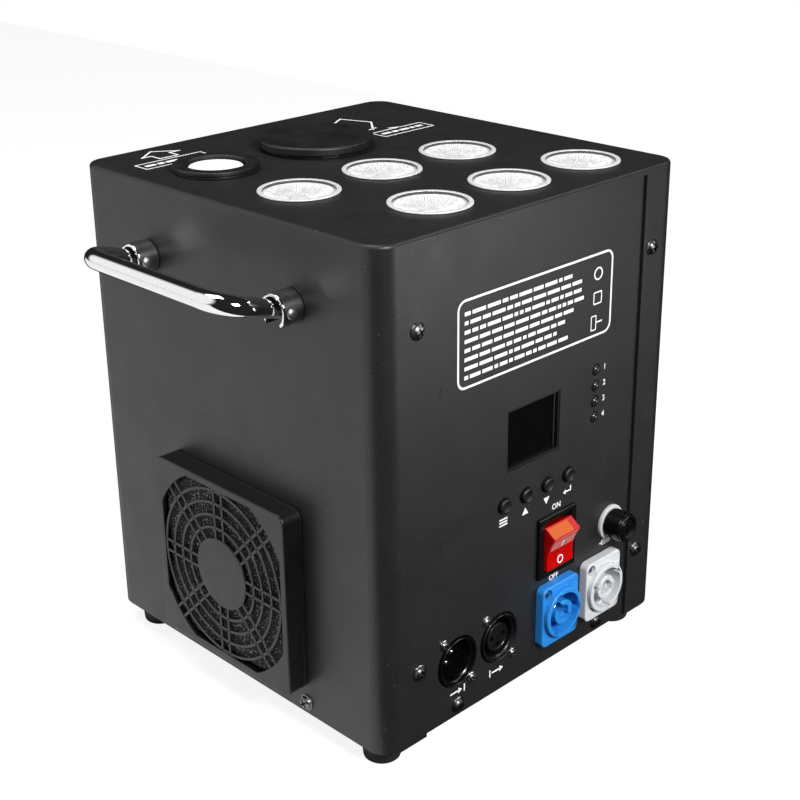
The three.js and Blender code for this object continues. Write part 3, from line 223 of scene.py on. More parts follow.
class MachineSettings(bpy.types.PropertyGroup):
    case: PointerProperty(type=CaseSettings)
    handles: PointerProperty(type=HandleSettings)
    guard: PointerProperty(type=GuardSettings)
    lights: PointerProperty(type=LightSettings)
    panel: PointerProperty(type=PanelSettings)
    stage: PointerProperty(type=StageSettings)


def settings():
    return bpy.context.scene.spark_machine


def lengths(group, *names):
    """Some lengths of a group of settings, in millimetres."""
    return [getattr(group, name) / MM for name in names]


# Mesh tools


def linked(name, data):
    """A new object in the scene."""
    made = bpy.data.objects.new(name, data)
    bpy.context.scene.collection.objects.link(made)
    return made


def evaluated(piece):
    """A plain mesh of a piece as its modifiers leave it."""
    return bpy.data.meshes.new_from_object(
        piece.evaluated_get(bpy.context.evaluated_depsgraph_get())
    )


def as_object(bm, at=None):
    """Turns millimetres in a local place into an object at the origin."""
    bm.transform(Matrix.Scale(MM, 4) @ (at or Matrix()))
    bmesh.ops.recalc_face_normals(bm, faces=bm.faces)
    mesh = bpy.data.meshes.new("shape")
    bm.to_mesh(mesh)
    bm.free()
    return linked("shape", mesh)


def settle(piece):
    """Applies the modifiers of a piece."""
    mesh = evaluated(piece)
    piece.modifiers.clear()
    piece.data = mesh
    return piece


def filleted(points, steps=4, closed=True):
    """An outline whose (u, v, radius) corners are rounded."""
    out = []
    for i, point in enumerate(points):
        here = Vector(point[:2])
        end = not closed and i in (0, len(points) - 1)
        if len(point) < 3 or not point[2] or end:
            out.append(tuple(here))
            continue
        before = (Vector(points[i - 1][:2]) - here).normalized()
        after = (Vector(points[(i + 1) % len(points)][:2]) - here).normalized()
        half = before.angle(after) / 2
        centre = here + (before + after).normalized() * point[2] / math.sin(half)
        a = here + before * point[2] / math.tan(half) - centre
        b = here + after * point[2] / math.tan(half) - centre
        turn = a.angle(b)
        for k in range(steps + 1):
            share = k / steps
            arm = (a * math.sin((1 - share) * turn) + b * math.sin(share * turn)) / math.sin(turn)
            out.append(tuple(centre + arm))
    return out


def circle(radius, sides=48, u=0, v=0):
    return [
        (u + radius * math.cos(WHOLE_TURN * i / sides), v + radius * math.sin(WHOLE_TURN * i / sides))
        for i in range(sides)
    ]


def block(left, right, low, high):
    """The four corners between two sides and two levels."""
    return [(left, low), (right, low), (right, high), (left, high)]


def rectangle(half_u, half_v, corner=0, u=0, v=0, steps=6):
    points = [(u + a * half_u, v + b * half_v, corner) for a, b in ((1, 1), (-1, 1), (-1, -1), (1, -1))]
    return filleted(points, steps)


def loft(rings, closed=False):
    """A solid through rings of points, with its two ends closed or joined."""
    bm = bmesh.new()
    rows = [[bm.verts.new(p) for p in ring] for ring in rings]
    pairs = list(zip(rows, rows[1:])) + ([(rows[-1], rows[0])] if closed else [])
    for low, high in pairs:
        sides = max(len(low), len(high))
        for i in range(sides):
            j = (i + 1) % sides
            ends = [low[i % len(low)], low[j % len(low)], high[j % len(high)], high[i % len(high)]]
            face = list(dict.fromkeys(ends))
            if len(face) > 2:
                bm.faces.new(face)
    if not closed:
        for row in (rows[0], rows[-1]):
            if len(row) > 2:
                bm.faces.new(row)
    return bm


def turned(profile, at=None, sides=64, steps=3, loop=False):
    """Turns (radius, level, fillet) points about the local Z axis."""
    rings = []
    for radius, level in filleted(profile, steps, closed=loop):
        outline = circle(radius, sides) if radius > 1e-6 else [(0, 0)]
        rings.append([(u, v, level) for u, v in outline])
    return as_object(loft(rings, closed=loop), at)


def plate(half_u, half_v, corner, low, high, at=None, edge=0, u=0, v=0, steps=3):
    """A rounded rectangle from low to high whose outer edge is rounded."""
    turns = [QUARTER_TURN * k / steps for k in range(steps + 1)] if edge else [0]
    levels = [(edge * (1 - math.cos(t)), high - edge + edge * math.sin(t)) for t in turns]
    rings = []
    for inset, z in [(0, low), *levels]:
        outline = rectangle(half_u - inset, half_v - inset, max(corner - inset, 0.05), u, v)
        rings.append([(a, b, z) for a, b in outline])
    return as_object(loft(rings), at)


def prism(outline, low, high, at=None):
    return as_object(loft([[(u, v, z) for u, v in outline] for z in (low, high)]), at)


def rod(radius, low, high, at=None, sides=48, u=0, v=0):
    return prism(circle(radius, sides, u, v), low, high, at)


def box(low, high, at=None):
    """A plain block between two corners."""
    return prism(block(low[0], high[0], low[1], high[1]), low[2], high[2], at)


def merge(first, *others):
    """Puts the meshes of several pieces in one."""
    bm = bmesh.new()
    for piece in (first, *others):
        bm.from_mesh(piece.data)
    bm.to_mesh(first.data)
    bm.free()
    for piece in others:
        bpy.data.objects.remove(piece)
    return first


def change(piece, tools, operation="DIFFERENCE"):
    """Cuts tools from a piece, or joins them to it."""
    for tool in tools:
        step = piece.modifiers.new("change", "BOOLEAN")
        step.operation = operation
        step.solver = "EXACT"
        step.object = tool
    settle(piece)
    for tool in tools:
        bpy.data.objects.remove(tool)
    return piece


def soften(piece, width, steps=2, sharp=50):
    """Rounds every edge sharper than an angle."""
    step = piece.modifiers.new("edges", "BEVEL")
    step.width = width * MM
    step.segments = steps
    step.limit_method = "ANGLE"
    step.angle_limit = math.radians(sharp)
    step.use_clamp_overlap = True
    step.miter_outer = "MITER_ARC"
    return settle(piece)


def flat(shapes, at, height=0.04):
    """A thin printed layer of flat outlines; at is a place, or a function from u, v and height."""
    bm = bmesh.new()
    for shape in shapes:
        low, high = ([bm.verts.new((u, v, z)) for u, v in shape] for z in (0, height))
        bm.faces.new(low)
        bm.faces.new(high)
        for i in range(len(shape)):
            j = (i + 1) % len(shape)
            bm.faces.new((low[i], low[j], high[j], high[i]))
    if callable(at):
        for corner in bm.verts:
            corner.co = at(*corner.co)
        return as_object(bm)
    return as_object(bm, at)


def line(points, width, closed=False):
    """Four-cornered outlines that draw a line of some width with mitred corners."""
    last = len(points) - 1
    spots = [Vector(p) for p in points]
    sides = []
    for i, spot in enumerate(spots):
        before = spot - spots[i - 1] if closed or i else spots[1] - spot
        after = spots[(i + 1) % len(points)] - spot if closed or i < last else before
        a, b = before.normalized(), after.normalized()
        along = (a + b).normalized()
        across = Vector((-along.y, along.x)) * width / 2 / max(along.dot(a), 0.3)
        sides.append((tuple(spot + across), tuple(spot - across)))
    following = sides[1:] + sides[:1] if closed else sides[1:]
    return [[a, b, d, c] for (a, b), (c, d) in zip(sides, following)]


def drawn(*strokes):
    """Outlines of several strokes, each given by its points, width and whether it is closed."""
    return [shape for points, width, *closed in strokes for shape in line(points, width, *closed)]


def words(text, at, height=2.7, thickness=0.04):
    """A raised numeral or plain switch word, centred on its place."""
    curve = bpy.data.curves.new("words", "FONT")
    curve.body = text
    curve.size = height * MM * 1.4
    curve.align_x = "CENTER"
    curve.align_y = "CENTER"
    curve.extrude = thickness * MM / 2
    curve.offset = 0.02 * height * MM
    carrier = linked("words", curve)
    mesh = evaluated(carrier)
    bpy.data.objects.remove(carrier)
    mesh.transform(in_metres(at) @ Matrix.Translation((0, 0, thickness * MM / 2)))
    return linked("words", mesh)


def paint_faces(piece, index, test):
    """Gives the faces whose middle and normal, in metres, pass a test another finish."""
    for face in piece.data.polygons:
        if test(face.center, face.normal):
            face.material_index = index


def sweep(points, radii, at, sides=32):
    """A closed bar through points of the local XY plane, with a radius at each."""
    last = len(points) - 1
    upright = Vector((0, 0, 1))
    rings = []
    for i, (point, radius) in enumerate(zip(points, radii)):
        along = (points[min(i + 1, last)] - points[max(i - 1, 0)]).normalized()
        across = along.cross(upright)
        rings.append([point + across * u + upright * v for u, v in circle(radius, sides)])
    return as_object(loft(rings), at)


def polished(node, edge=0.2):
    """A copy of a CAD node with its triangles joined and its edges rounded."""
    bm = bmesh.new()
    bm.from_mesh(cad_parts[node].data)
    bmesh.ops.remove_doubles(bm, verts=bm.verts, dist=0.001 * MM)
    bmesh.ops.dissolve_limit(bm, angle_limit=math.radians(1), verts=bm.verts, edges=bm.edges)
    bm.transform(Matrix.Scale(1 / MM, 4))
    return soften(as_object(bm), edge, 2, 40)


def as_list(value):
    return [value] if isinstance(value, str) else list(value)


def deliver(piece, name, finishes, replaces=(), body="case", sharp=35):
    """Names, shades and finishes a piece, and gives it to its body."""
    piece.name = name
    piece.data.name = name
    piece.data.shade_smooth()
    piece.data.set_sharp_from_angle(angle=math.radians(sharp))
    step = piece.modifiers.new("normals", "WEIGHTED_NORMAL")
    step.keep_sharp = True
    settle(piece)
    piece.data.name = name
    piece.data.materials.clear()
    finishes = as_list(finishes)
    for finish in finishes:
        piece.data.materials.append(bpy.data.materials[finish])
    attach(piece, body)
    if replaces:
        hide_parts(*as_list(replaces))


# Node trees


def add_node(tree, kind, inputs=None, **values):
    """Adds a node with its settings; an input is a constant or a socket to link."""
    made = tree.nodes.new(kind)
    for key, value in values.items():
        setattr(made, key, value)
    for key, value in (inputs or {}).items():
        if isinstance(value, bpy.types.NodeSocket):
            tree.links.new(value, made.inputs[key])
        else:
            made.inputs[key].default_value = value
    return made


def result(tree, kind, inputs=None, **values):
    """The first output of a new node."""
    return add_node(tree, kind, inputs, **values).outputs[0]


def maths(tree, operation, *values):
    return result(tree, "ShaderNodeMath", dict(enumerate(values)), operation=operation)


def growing_tree(name, fields):
    """A geometry tree with named inputs; returns it, its input sockets and its end."""
    tree = bpy.data.node_groups.new(name, "GeometryNodeTree")
    tree.interface.new_socket("Geometry", in_out="INPUT", socket_type="NodeSocketGeometry")
    for label, kind in fields.items():
        tree.interface.new_socket(label, in_out="INPUT", socket_type=f"NodeSocket{kind}")
    tree.interface.new_socket("Geometry", in_out="OUTPUT", socket_type="NodeSocketGeometry")
    return tree, add_node(tree, "NodeGroupInput").outputs, add_node(tree, "NodeGroupOutput")


def close_tree(tree, given, end, source):
    """Ends a geometry tree with real geometry in its finish."""
    real = result(tree, "GeometryNodeRealizeInstances", {0: source})
    done = result(tree, "GeometryNodeSetMaterial", {"Geometry": real, "Material": given["Finish"]})
    tree.links.new(done, end.inputs[0])
    return tree


def grow(tree, values, piece=None, at=None):
    """Runs a geometry tree on a piece, and keeps its plain mesh."""
    piece = piece or as_object(bmesh.new())
    step = piece.modifiers.new("grow", "NODES")
    step.node_group = tree
    for item in tree.interface.items_tree:
        if item.in_out == "INPUT" and item.name in values:
            step[item.identifier] = values[item.name]
    settle(piece)
    if at:
        piece.data.transform(in_metres(at))
    return piece


def joined(tree, parts):
    """Several geometries as one."""
    join = add_node(tree, "GeometryNodeJoinGeometry")
    for part in parts:
        tree.links.new(part, join.inputs[0])
    return join.outputs[0]


def copies(tree, points, part, **turns):
    """A copy of a part at each point."""
    return result(tree, "GeometryNodeInstanceOnPoints", {"Points": points, "Instance": part, **turns})


def spots_at_origin(tree, number):
    return result(tree, "GeometryNodeMeshLine", {"Count": number, "Offset": (0, 0, 0)})


def round_about(tree, number, part, start=0.0):
    """Copies of a part at equal turns about its Z axis, the first turned by some steps."""
    step = maths(tree, "ADD", result(tree, "GeometryNodeInputIndex"), start)
    turn = maths(tree, "MULTIPLY", step, maths(tree, "DIVIDE", WHOLE_TURN, number))
    euler = result(tree, "ShaderNodeCombineXYZ", {"Z": turn})
    rotation = result(tree, "FunctionNodeEulerToRotation", {0: euler})
    return copies(tree, spots_at_origin(tree, number), part, Rotation=rotation)


def swept(tree, curve, profile):
    """A closed bar along a curve."""
    inputs = {"Curve": curve, "Profile Curve": profile, "Fill Caps": True}
    return result(tree, "GeometryNodeCurveToMesh", inputs)


def grille_tree():
    """Rings round a disc, and pairs of spokes out to a square window with cut corners."""
    floats = ("Disc", "First ring", "Ring pitch", "Width", "Depth", "Edge", "Spacing", "Straight reach",
              "Diagonal reach")
    fields = {name: "Float" for name in floats}
    fields |= {"Rings": "Int", "Half pairs": "Int", "Finish": "Material"}
    tree, given, end = growing_tree("guard_grille", fields)
    bar = result(
        tree, "GeometryNodeCurvePrimitiveQuadrilateral", {"Width": given["Depth"], "Height": given["Width"]}
    )
    profile = result(
        tree, "GeometryNodeFilletCurve", {"Curve": bar, "Radius": given["Edge"], "Count": 3}, mode="POLY"
    )
    index = result(tree, "GeometryNodeInputIndex")
    radius = maths(tree, "MULTIPLY_ADD", index, given["Ring pitch"], given["First ring"])
    ring = result(tree, "GeometryNodeCurvePrimitiveCircle", {"Resolution": 96, "Radius": 1.0})
    parts = [copies(tree, spots_at_origin(tree, given["Rings"]), ring, Scale=radius)]
    for reach, start in (("Straight reach", 0.0), ("Diagonal reach", 0.5)):
        pair = []
        for side in (-0.5, 0.5):
            y = maths(tree, "MULTIPLY", given["Spacing"], side)
            ends = [result(tree, "ShaderNodeCombineXYZ", {"X": given[x], "Y": y}) for x in ("Disc", reach)]
            pair.append(result(tree, "GeometryNodeCurvePrimitiveLine", {"Start": ends[0], "End": ends[1]}))
        parts.append(round_about(tree, given["Half pairs"], joined(tree, pair), start))
    real = result(tree, "GeometryNodeRealizeInstances", {0: joined(tree, parts)})
    normal = result(tree, "GeometryNodeSetCurveNormal", {"Curve": real}, mode="Z_UP")
    return close_tree(tree, given, end, swept(tree, normal, profile))


def rib_tree():
    """Ribs from the middle to the rim of every lens."""
    tree, given, end = growing_tree(
        "lens_ribs",
        {"Ribs": "Int", "Inner": "Vector", "Outer": "Vector", "Radius": "Float", "Finish": "Material"},
    )
    rib = result(tree, "GeometryNodeCurvePrimitiveLine", {"Start": given["Inner"], "End": given["Outer"]})
    profile = result(
        tree, "GeometryNodeCurvePrimitiveCircle", {"Resolution": 6, "Radius": given["Radius"]}
    )
    crown = round_about(tree, given["Ribs"], swept(tree, rib, profile))
    return close_tree(tree, given, end, copies(tree, given["Geometry"], crown))


def scatter_tree():
    """Copies of one part at each point, turned and sized by the point's own values."""
    tree, given, end = growing_tree("fasteners", {"Part": "Object", "Finish": "Material"})
    part = add_node(tree, "GeometryNodeObjectInfo", {"Object": given["Part"]}).outputs["Geometry"]
    turn, scale = (
        result(tree, "GeometryNodeInputNamedAttribute", {"Name": name}, data_type=kind)
        for name, kind in (("turn", "FLOAT_VECTOR"), ("size", "FLOAT"))
    )
    rotation = result(tree, "FunctionNodeEulerToRotation", {0: turn})
    spread = copies(tree, given["Geometry"], part, Rotation=rotation, Scale=scale)
    return close_tree(tree, given, end, spread)


def points_piece(places):
    """A mesh of points with the turn and size that each fastener takes."""
    mesh = bpy.data.meshes.new("points")
    mesh.from_pydata([tuple(place.translation * MM) for place, _ in places], [], [])
    mesh.attributes.new("turn", "FLOAT_VECTOR", "POINT")
    mesh.attributes.new("size", "FLOAT", "POINT")
    for i, (place, scale) in enumerate(places):
        mesh.attributes["turn"].data[i].vector = place.to_euler()
        mesh.attributes["size"].data[i].value = scale
    return linked("points", mesh)


# Finishes


def surface(name, paint, **values):
    """A material with one shader, whose constants stand on its own sockets."""
    made = bpy.data.materials.new(name)
    made.use_nodes = True
    shader = made.node_tree.nodes["Principled BSDF"]
    shader.inputs["Base Color"].default_value = (*paint, 1)
    for socket, value in values.items():
        shader.inputs[socket.replace("_", " ")].default_value = value
    made.diffuse_color = (*paint, 1)
    return made.node_tree, shader


def grain(tree, across, detail=2.0, stretch=1):
    """Noise with grains of about that many millimetres, on the piece's own coordinates."""
    place = add_node(tree, "ShaderNodeTexCoord").outputs["Object"]
    if stretch != 1:
        place = result(tree, "ShaderNodeMapping", {"Vector": place, "Scale": (1, 1, stretch)})
    return result(
        tree, "ShaderNodeTexNoise", {"Vector": place, "Scale": 1 / (across * MM), "Detail": detail}
    )


def between(tree, source, low, high, start=0.3, end=0.7):
    """A pattern's values from start to end, spread from low to high."""
    spans = {"From Min": start, "From Max": end, "To Min": low, "To Max": high}
    return result(tree, "ShaderNodeMapRange", {"Value": source, **spans})


def blended(tree, share, *ends):
    """A colour between two, by a pattern; an end is a colour or a socket."""
    first, second = (end if isinstance(end, bpy.types.NodeSocket) else (*end, 1) for end in ends)
    return add_node(tree, "ShaderNodeMix", {0: share, 6: first, 7: second}, data_type="RGBA").outputs[2]


def tint(tree, shader, share, *ends):
    """Gives a shader a colour between two, by a pattern."""
    tree.links.new(blended(tree, share, *ends), shader.inputs["Base Color"])


def gloss(tree, shader, source, *spans):
    """Gives a shader roughness by a pattern."""
    tree.links.new(between(tree, source, *spans), shader.inputs["Roughness"])


def relief(tree, shader, source, height):
    """Bumps of a pattern, that many millimetres high."""
    bump = result(tree, "ShaderNodeBump", {"Height": source, "Distance": height * MM, "Strength": 1.0})
    tree.links.new(bump, shader.inputs["Normal"])


def shade(paint, factor):
    return tuple(min(1.0, c * factor) for c in paint)


def moulded(name, paint, rough, texture, height, spread=0.06, **values):
    """Moulded plastic or rubber: a fine mould texture, and small changes of gloss and colour."""
    tree, shader = surface(name, paint, **values)
    fine = grain(tree, texture)
    gloss(tree, shader, grain(tree, 9, 1.0), rough - spread, rough + spread)
    tint(tree, shader, between(tree, fine, 0, 1), shade(paint, 0.88), shade(paint, 1.12))
    relief(tree, shader, fine, height)
    return shader


def metal(name, paint, rough, stretch, height, spread):
    """Bare or plated metal: fine marks in one direction, and uneven gloss."""
    tree, shader = surface(name, paint, Metallic=1.0)
    marks = grain(tree, 0.5, 3.0, stretch)
    gloss(tree, shader, grain(tree, 6, 2.0), max(rough - spread, 0.02), rough + spread)
    tint(tree, shader, between(tree, marks, 0, 1), shade(paint, 0.9), shade(paint, 1.06))
    if height:
        relief(tree, shader, marks, height)


def powder_coated_steel(paint):
    """Textured powder coat: half-millimetre grains catch the light, and a few are pale dots."""
    tree, shader = surface("powder_coated_steel", paint, IOR=1.45)
    fine = grain(tree, 0.55, 3.0)
    gloss(tree, shader, grain(tree, 14, 2.0), 0.38, 0.46)
    coat = blended(tree, between(tree, fine, 0, 1), shade(paint, 0.7), shade(paint, 1.45))
    dots = between(tree, grain(tree, 1.1, 1.0), 0, 0.5, 0.76, 0.82)
    tint(tree, shader, dots, coat, linear("8a8a8a"))
    relief(tree, shader, fine, 0.05)


def open_cell_foam():
    """Reticulated polyurethane foam: black strands round open cells, with pale spots on some strands as
    painted glints.
    """
    tree, shader = surface("open_cell_foam", linear("0b0b0b"), IOR=1.5)
    strands = grain(tree, 1.0, 4.0)
    # The pale tone on some strands is a painted highlight
    tint(tree, shader, between(tree, strands, 0, 1, 0.6, 0.68), linear("070707"), linear("a8a8a8"))
    gloss(tree, shader, strands, 0.9, 0.5, 0.5, 0.7)
    relief(tree, shader, strands, 0.5)


def circuit_board():
    """Glass fibre board under green solder mask, with the pale lines of its tracks."""
    tree, shader = surface("circuit_board", linear("1f5a38"), IOR=1.5)
    place = add_node(tree, "ShaderNodeTexCoord").outputs["Object"]
    inputs = {"Vector": place, "Scale": 1 / (9 * MM), "Mortar Size": 0.04}
    for socket, text in (("Color1", "1f5a38"), ("Color2", "1b5033"), ("Mortar", "4c8a5e")):
        inputs[socket] = (*linear(text), 1)
    tracks = add_node(tree, "ShaderNodeTexBrick", inputs)
    tree.links.new(tracks.outputs[0], shader.inputs["Base Color"])
    gloss(tree, shader, grain(tree, 5), 0.35, 0.5)
    relief(tree, shader, tracks.outputs[1], 0.03)


# Slot, colour, roughness, stretch of the marks, their relief in millimetres, spread of the gloss
METALS = {
    "zinc_plated_steel": ("zinc_steel", "a5a8aa", 0.4, 1, 0.002, 0.05),
    "turned_steel": ("steel", "8f9193", 0.35, 12, 0.002, 0.05),
    "chromed_steel": ("chrome", "e6e6e6", 0.05, 1, 0, 0.02),
    "black_zinc_screws": ("zinc_steel", "727376", 0.3, 1, 0.003, 0.05),
    "nickel_plated_screws": ("zinc_steel", "a4a4a6", 0.26, 1, 0.002, 0.05),
    "nickel_plated_brass": ("zinc_steel", "cfcfcb", 0.18, 1, 0.002, 0.05),
    "smoked_zinc_casting": ("boss_paint", "handles.cup", 0.34, 1, 0.006, 0.05),
}

# Slot, colour, roughness, grain and relief in millimetres, spread of the gloss
MOULDINGS = {
    "moulded_rubber": ("rubber", "161616", 0.75, 0.5, 0.02, 0.06),
    "moulded_abs_black": ("black_plastic", "121213", 0.42, 0.35, 0.006, 0.06),
    "glossy_abs_black": ("black_plastic", "0c0c0d", 0.22, 0.35, 0.002, 0.06),
    "moulded_insert_black": ("black_plastic", "0f0f10", 0.3, 0.5, 0.006, 0.06),
    "socket_black": ("black_plastic", "080808", 0.2, 0.35, 0.002, 0.06),
    "moulded_abs_guard": ("guard_plastic", "guard.plastic", 0.36, 0.4, 0.006, 0.06),
    "moulded_lid_black": ("black_plastic", "101010", 0.46, 0.45, 0.02, 0.06),
    "lens_acrylic": ("lens", "lights.plastic", 0.3, 2.0, 0.002, 0.06),
    # Grey copy of the lens, painted shade on the inner wall of each lens's rim
    "lens_wall": ("lens", "464648", 0.3, 2.0, 0.002, 0.06),
    "moulded_button_black": ("white_plastic", "070708", 0.4, 0.35, 0.004, 0.06),
    "polycarbonate_white": ("outlet_white", "f3f4f4", 0.35, 0.8, 0.003, 0.06),
    "nylon_white": ("white_plastic", "panel.outlet", 0.42, 0.35, 0.006, 0.06),
    "nylon_blue": ("blue_plastic", "panel.inlet", 0.36, 0.35, 0.006, 0.06),
    "nylon_pale_grey": ("white_plastic", "c4c6c4", 0.45, 0.35, 0.006, 0.06),
    "rocker_red": ("red_plastic", "panel.rocker", 0.26, 1.5, 0.001, 0.03),
    # The next three rows are copies of the rocker's red with light painted in: a pale painted reflection, an
    # orange patch painted for light through the translucent top, and a brighter red painted highlight
    "rocker_pale": ("red_plastic", "cc6662", 0.25, 1.5, 0.001, 0.03),
    "rocker_orange": ("red_plastic", "c05a28", 0.5, 0.5, 0.002, 0.03),
    "rocker_bright": ("red_plastic", "ee0c08", 0.2, 1.5, 0.001, 0.03),
    "epoxy_lamp_grey": ("lens", "232325", 0.14, 1.2, 0.002, 0.03),
    "display_glass": ("dark_panel", "060607", 0.1, 1.5, 0.0006, 0.02),
    "display_black": ("dark_panel", "050505", 0.5, 0.4, 0.002, 0.06),
    "fuse_glass": ("fuse_glass", "cfd4d6", 0.1, 1.0, 0.0006, 0.03),
    "screen_ink": ("white_plastic", "panel.ink", 0.55, 0.3, 0.004, 0.06),
}
EXTRAS = {
    "moulded_abs_guard": {"IOR": 1.43},
    "rocker_red": {"IOR": 1.33},
    "rocker_orange": {"IOR": 1.3},
    "fuse_glass": {"Transmission_Weight": 0.8},
}
SLOTS = {"powder_coated_steel": "powder_coat", "open_cell_foam": "foam"}
SLOTS |= {name: row[0] for name, row in (METALS | MOULDINGS).items()}

# Which finish each CAD node that stays carries
NODE_FINISHES = {
    "powder_coated_steel": ["hopper"],
    "zinc_plated_steel": ["power_supply", "blower_housing"],
    "turned_steel": ["nozzle_tube", "feed_auger", "feed_motor", "heating_chamber"],
    "moulded_abs_black": ["fan_housing", "fan_rotor", "blower_impeller"],
    "circuit_board": ["led_board", "control_board", "display_board"],
}


def painted(text):
    """A linear colour from sRGB hex, or from a colour setting given as group.name."""
    group, _, name = text.partition(".")
    return tuple(getattr(getattr(settings(), group), name)) if name else linear(text)


class Finishes(bpy.types.Operator):
    """Makes every material of the machine"""

    bl_idname = "spark.finishes"
    bl_label = "Finishes"

    def execute(self, context):
        powder_coated_steel(tuple(settings().case.paint))
        open_cell_foam()
        circuit_board()
        for name, (_, paint, *rest) in METALS.items():
            metal(name, painted(paint), *rest)
        for name, (_, paint, *rest) in MOULDINGS.items():
            moulded(name, painted(paint), *rest, **EXTRAS.get(name, {}))
        return {"FINISHED"}


class FrameFinishes(bpy.types.Operator):
    """Gives each CAD node that stays its material"""

    bl_idname = "spark.frame_finishes"
    bl_label = "Frame finishes"

    def execute(self, context):
        for finish, nodes in NODE_FINISHES.items():
            for node in nodes:
                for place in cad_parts[node].material_slots:
                    place.material = bpy.data.materials[finish]
        return {"FINISHED"}


class Stage(bpy.types.Operator):
    """Lays the pale floor, the soft lights and the camera"""

    bl_idname = "spark.stage"
    bl_label = "Stage"

    def execute(self, context):
        chosen = settings().stage
        scene = context.scene
        scene.view_settings.view_transform = "Standard"
        shader = moulded("stage_floor", tuple(chosen.floor), 0.9, 3.0, 0.002)
        shader.inputs["Emission Color"].default_value = (1, 1, 1, 1)
        shader.inputs["Emission Strength"].default_value = 0.86

        # Only the floor beside the left wall shines back, so that the front panel stays dark
        for name, left, right, near, shines in (
            ("floor_beside", -1500, -93, -93, True), ("floor_in_front", -93, 900, -240, False),
        ):
            bm = bmesh.new()
            bm.faces.new([bm.verts.new((*spot, 0)) for spot in block(left, right, near, 2000)])
            floor = as_object(bm)
            floor.name = name
            floor.visible_glossy = shines
            floor.visible_diffuse = shines
            floor.data.materials.append(bpy.data.materials["stage_floor"])

        # The sky is dim but for one soft window at the left, behind the machine
        scene.world = bpy.data.worlds.new("studio")
        scene.world.use_nodes = True
        sky = scene.world.node_tree
        back = sky.nodes["Background"]
        ray = add_node(sky, "ShaderNodeTexCoord").outputs["Generated"]
        window = add_node(
            sky, "ShaderNodeVectorMath", {0: ray, 1: Vector((-0.77, 0.47, 0.43))}, operation="DOT_PRODUCT"
        )
        glow = between(sky, window.outputs["Value"], 0.02, 1.1, 0.7, 0.84)
        seen = add_node(sky, "ShaderNodeLightPath").outputs["Is Camera Ray"]
        strength = result(sky, "ShaderNodeMix", {0: seen, 2: glow, 3: 1.0})
        sky.links.new(strength, back.inputs["Strength"])
        back.inputs["Color"].default_value = (1, 1, 1, 1)

        # Each square lamp's place, what it is turned to, its side in metres and its power in watts
        for name, place, aim, side, power in (
            ("front_softbox", (-0.3, -1.15, 0.9), (0, 0, 0.12), 0.35, 24.0),
            ("low_softbox", (0.36, -0.66, 0.1), (-0.09, -0.09, 0.2), 0.25, 1.5),
            ("edge_softbox", (0.7, -0.5, 0.95), (0, 0, 0.2), 0.3, 2.0),
            ("overhead_softbox", (-0.3, 0.2, 1.6), (0, 0, 0.2), 0.7, 13.0),
        ):
            data = bpy.data.lights.new(name, "AREA")
            data.shape = "RECTANGLE"
            data.size, data.size_y, data.energy = side, side, power
            lamp = linked(name, data)
            lamp.location = place
            lamp.rotation_euler = (Vector(aim) - Vector(place)).to_track_quat("-Z", "Y").to_euler()

        azimuth, elevation, roll = chosen.azimuth, chosen.elevation, chosen.roll
        flatness = math.cos(elevation)
        back_way = Vector(
            (math.sin(azimuth) * flatness, -math.cos(azimuth) * flatness, math.sin(elevation))
        )
        right_way = Vector((math.cos(azimuth), math.sin(azimuth), 0))
        right = right_way * math.cos(roll) + back_way.cross(right_way) * math.sin(roll)
        turn = Matrix((right, back_way.cross(right), back_way)).transposed().to_4x4()

        # The middle of the photograph's view lies off the middle of its 800 pixels
        pixels, across, down = 800, 390.6, 360.7
        data = bpy.data.cameras.new("camera")
        data.sensor_width = 36
        data.lens = 66.21
        data.shift_x = (pixels / 2 - across) / pixels
        data.shift_y = (down - pixels / 2) / pixels
        data.clip_start, data.clip_end = 0.01, 50
        scene.camera = linked("camera", data)
        scene.camera.matrix_world = Matrix.Translation(chosen.camera) @ turn
        return {"FINISHED"}


class Cover(bpy.types.Operator):
    """Folds the outer cover with its openings"""

    bl_idname = "spark.cover"
    bl_label = "Cover"

    def execute(self, context):
        sheet, corner, bend, opening = lengths(settings().case, "sheet", "corner", "bend", "opening")
        low, high = node_box("outer_cover")
        centre, half = (low + high) / 2, (high - low) / 2

        def ring(inset, z):
            outline = rectangle(half.x - inset, half.y - inset, corner - inset, centre.x, centre.y, 10)
            return [(u, v, z) for u, v in outline]

        def fold(radius, inset):
            """Rings round the bend between the walls and the top."""
            arc = [QUARTER_TURN * k / 6 for k in range(7)]
            return [
                ring(inset + radius * (1 - math.cos(t)), high.z - bend + radius * math.sin(t)) for t in arc
            ]

        inside = reversed(fold(bend - sheet, sheet))
        shell = as_object(loft([*inside, ring(sheet, low.z), ring(0, low.z), *fold(bend, 0)]))

        # The opening's middle lies a little to the right of the case's
        shift, lintel, tall = 0.4, 3, sheet + 2
        cuts = [
            box((shift - opening / 2, near, low.z - 1), (shift + opening / 2, far, high.z - lintel))
            for near, far in ((low.y - 1, low.y + sheet + 1), (high.y - sheet - 1, high.y + 1))
        ]
        holes = [(node, 15.9) for node in LENS_NODES] + [("nozzle_cap", 17), ("hopper_lid", 21.8)]
        cuts += [rod(radius, -tall, 1, top_place(node)) for node, radius in holes]
        fan = middle("fan_filter")
        cuts.append(rod(37.5, -tall, 1, facing("left", low.x, fan.y, fan.z)))
        first_vent, pitch = low.z + 41.5, 8
        cuts += [
            plate(30, 1.5, 1.4, -tall, 1, facing("right", high.x, centre.y, first_vent + pitch * k))
            for k in range(8)
        ]
        soften(change(shell, cuts), 0.22, 2, 60)
        deliver(shell, "cover_sheet", "powder_coated_steel", "outer_cover")
        return {"FINISHED"}


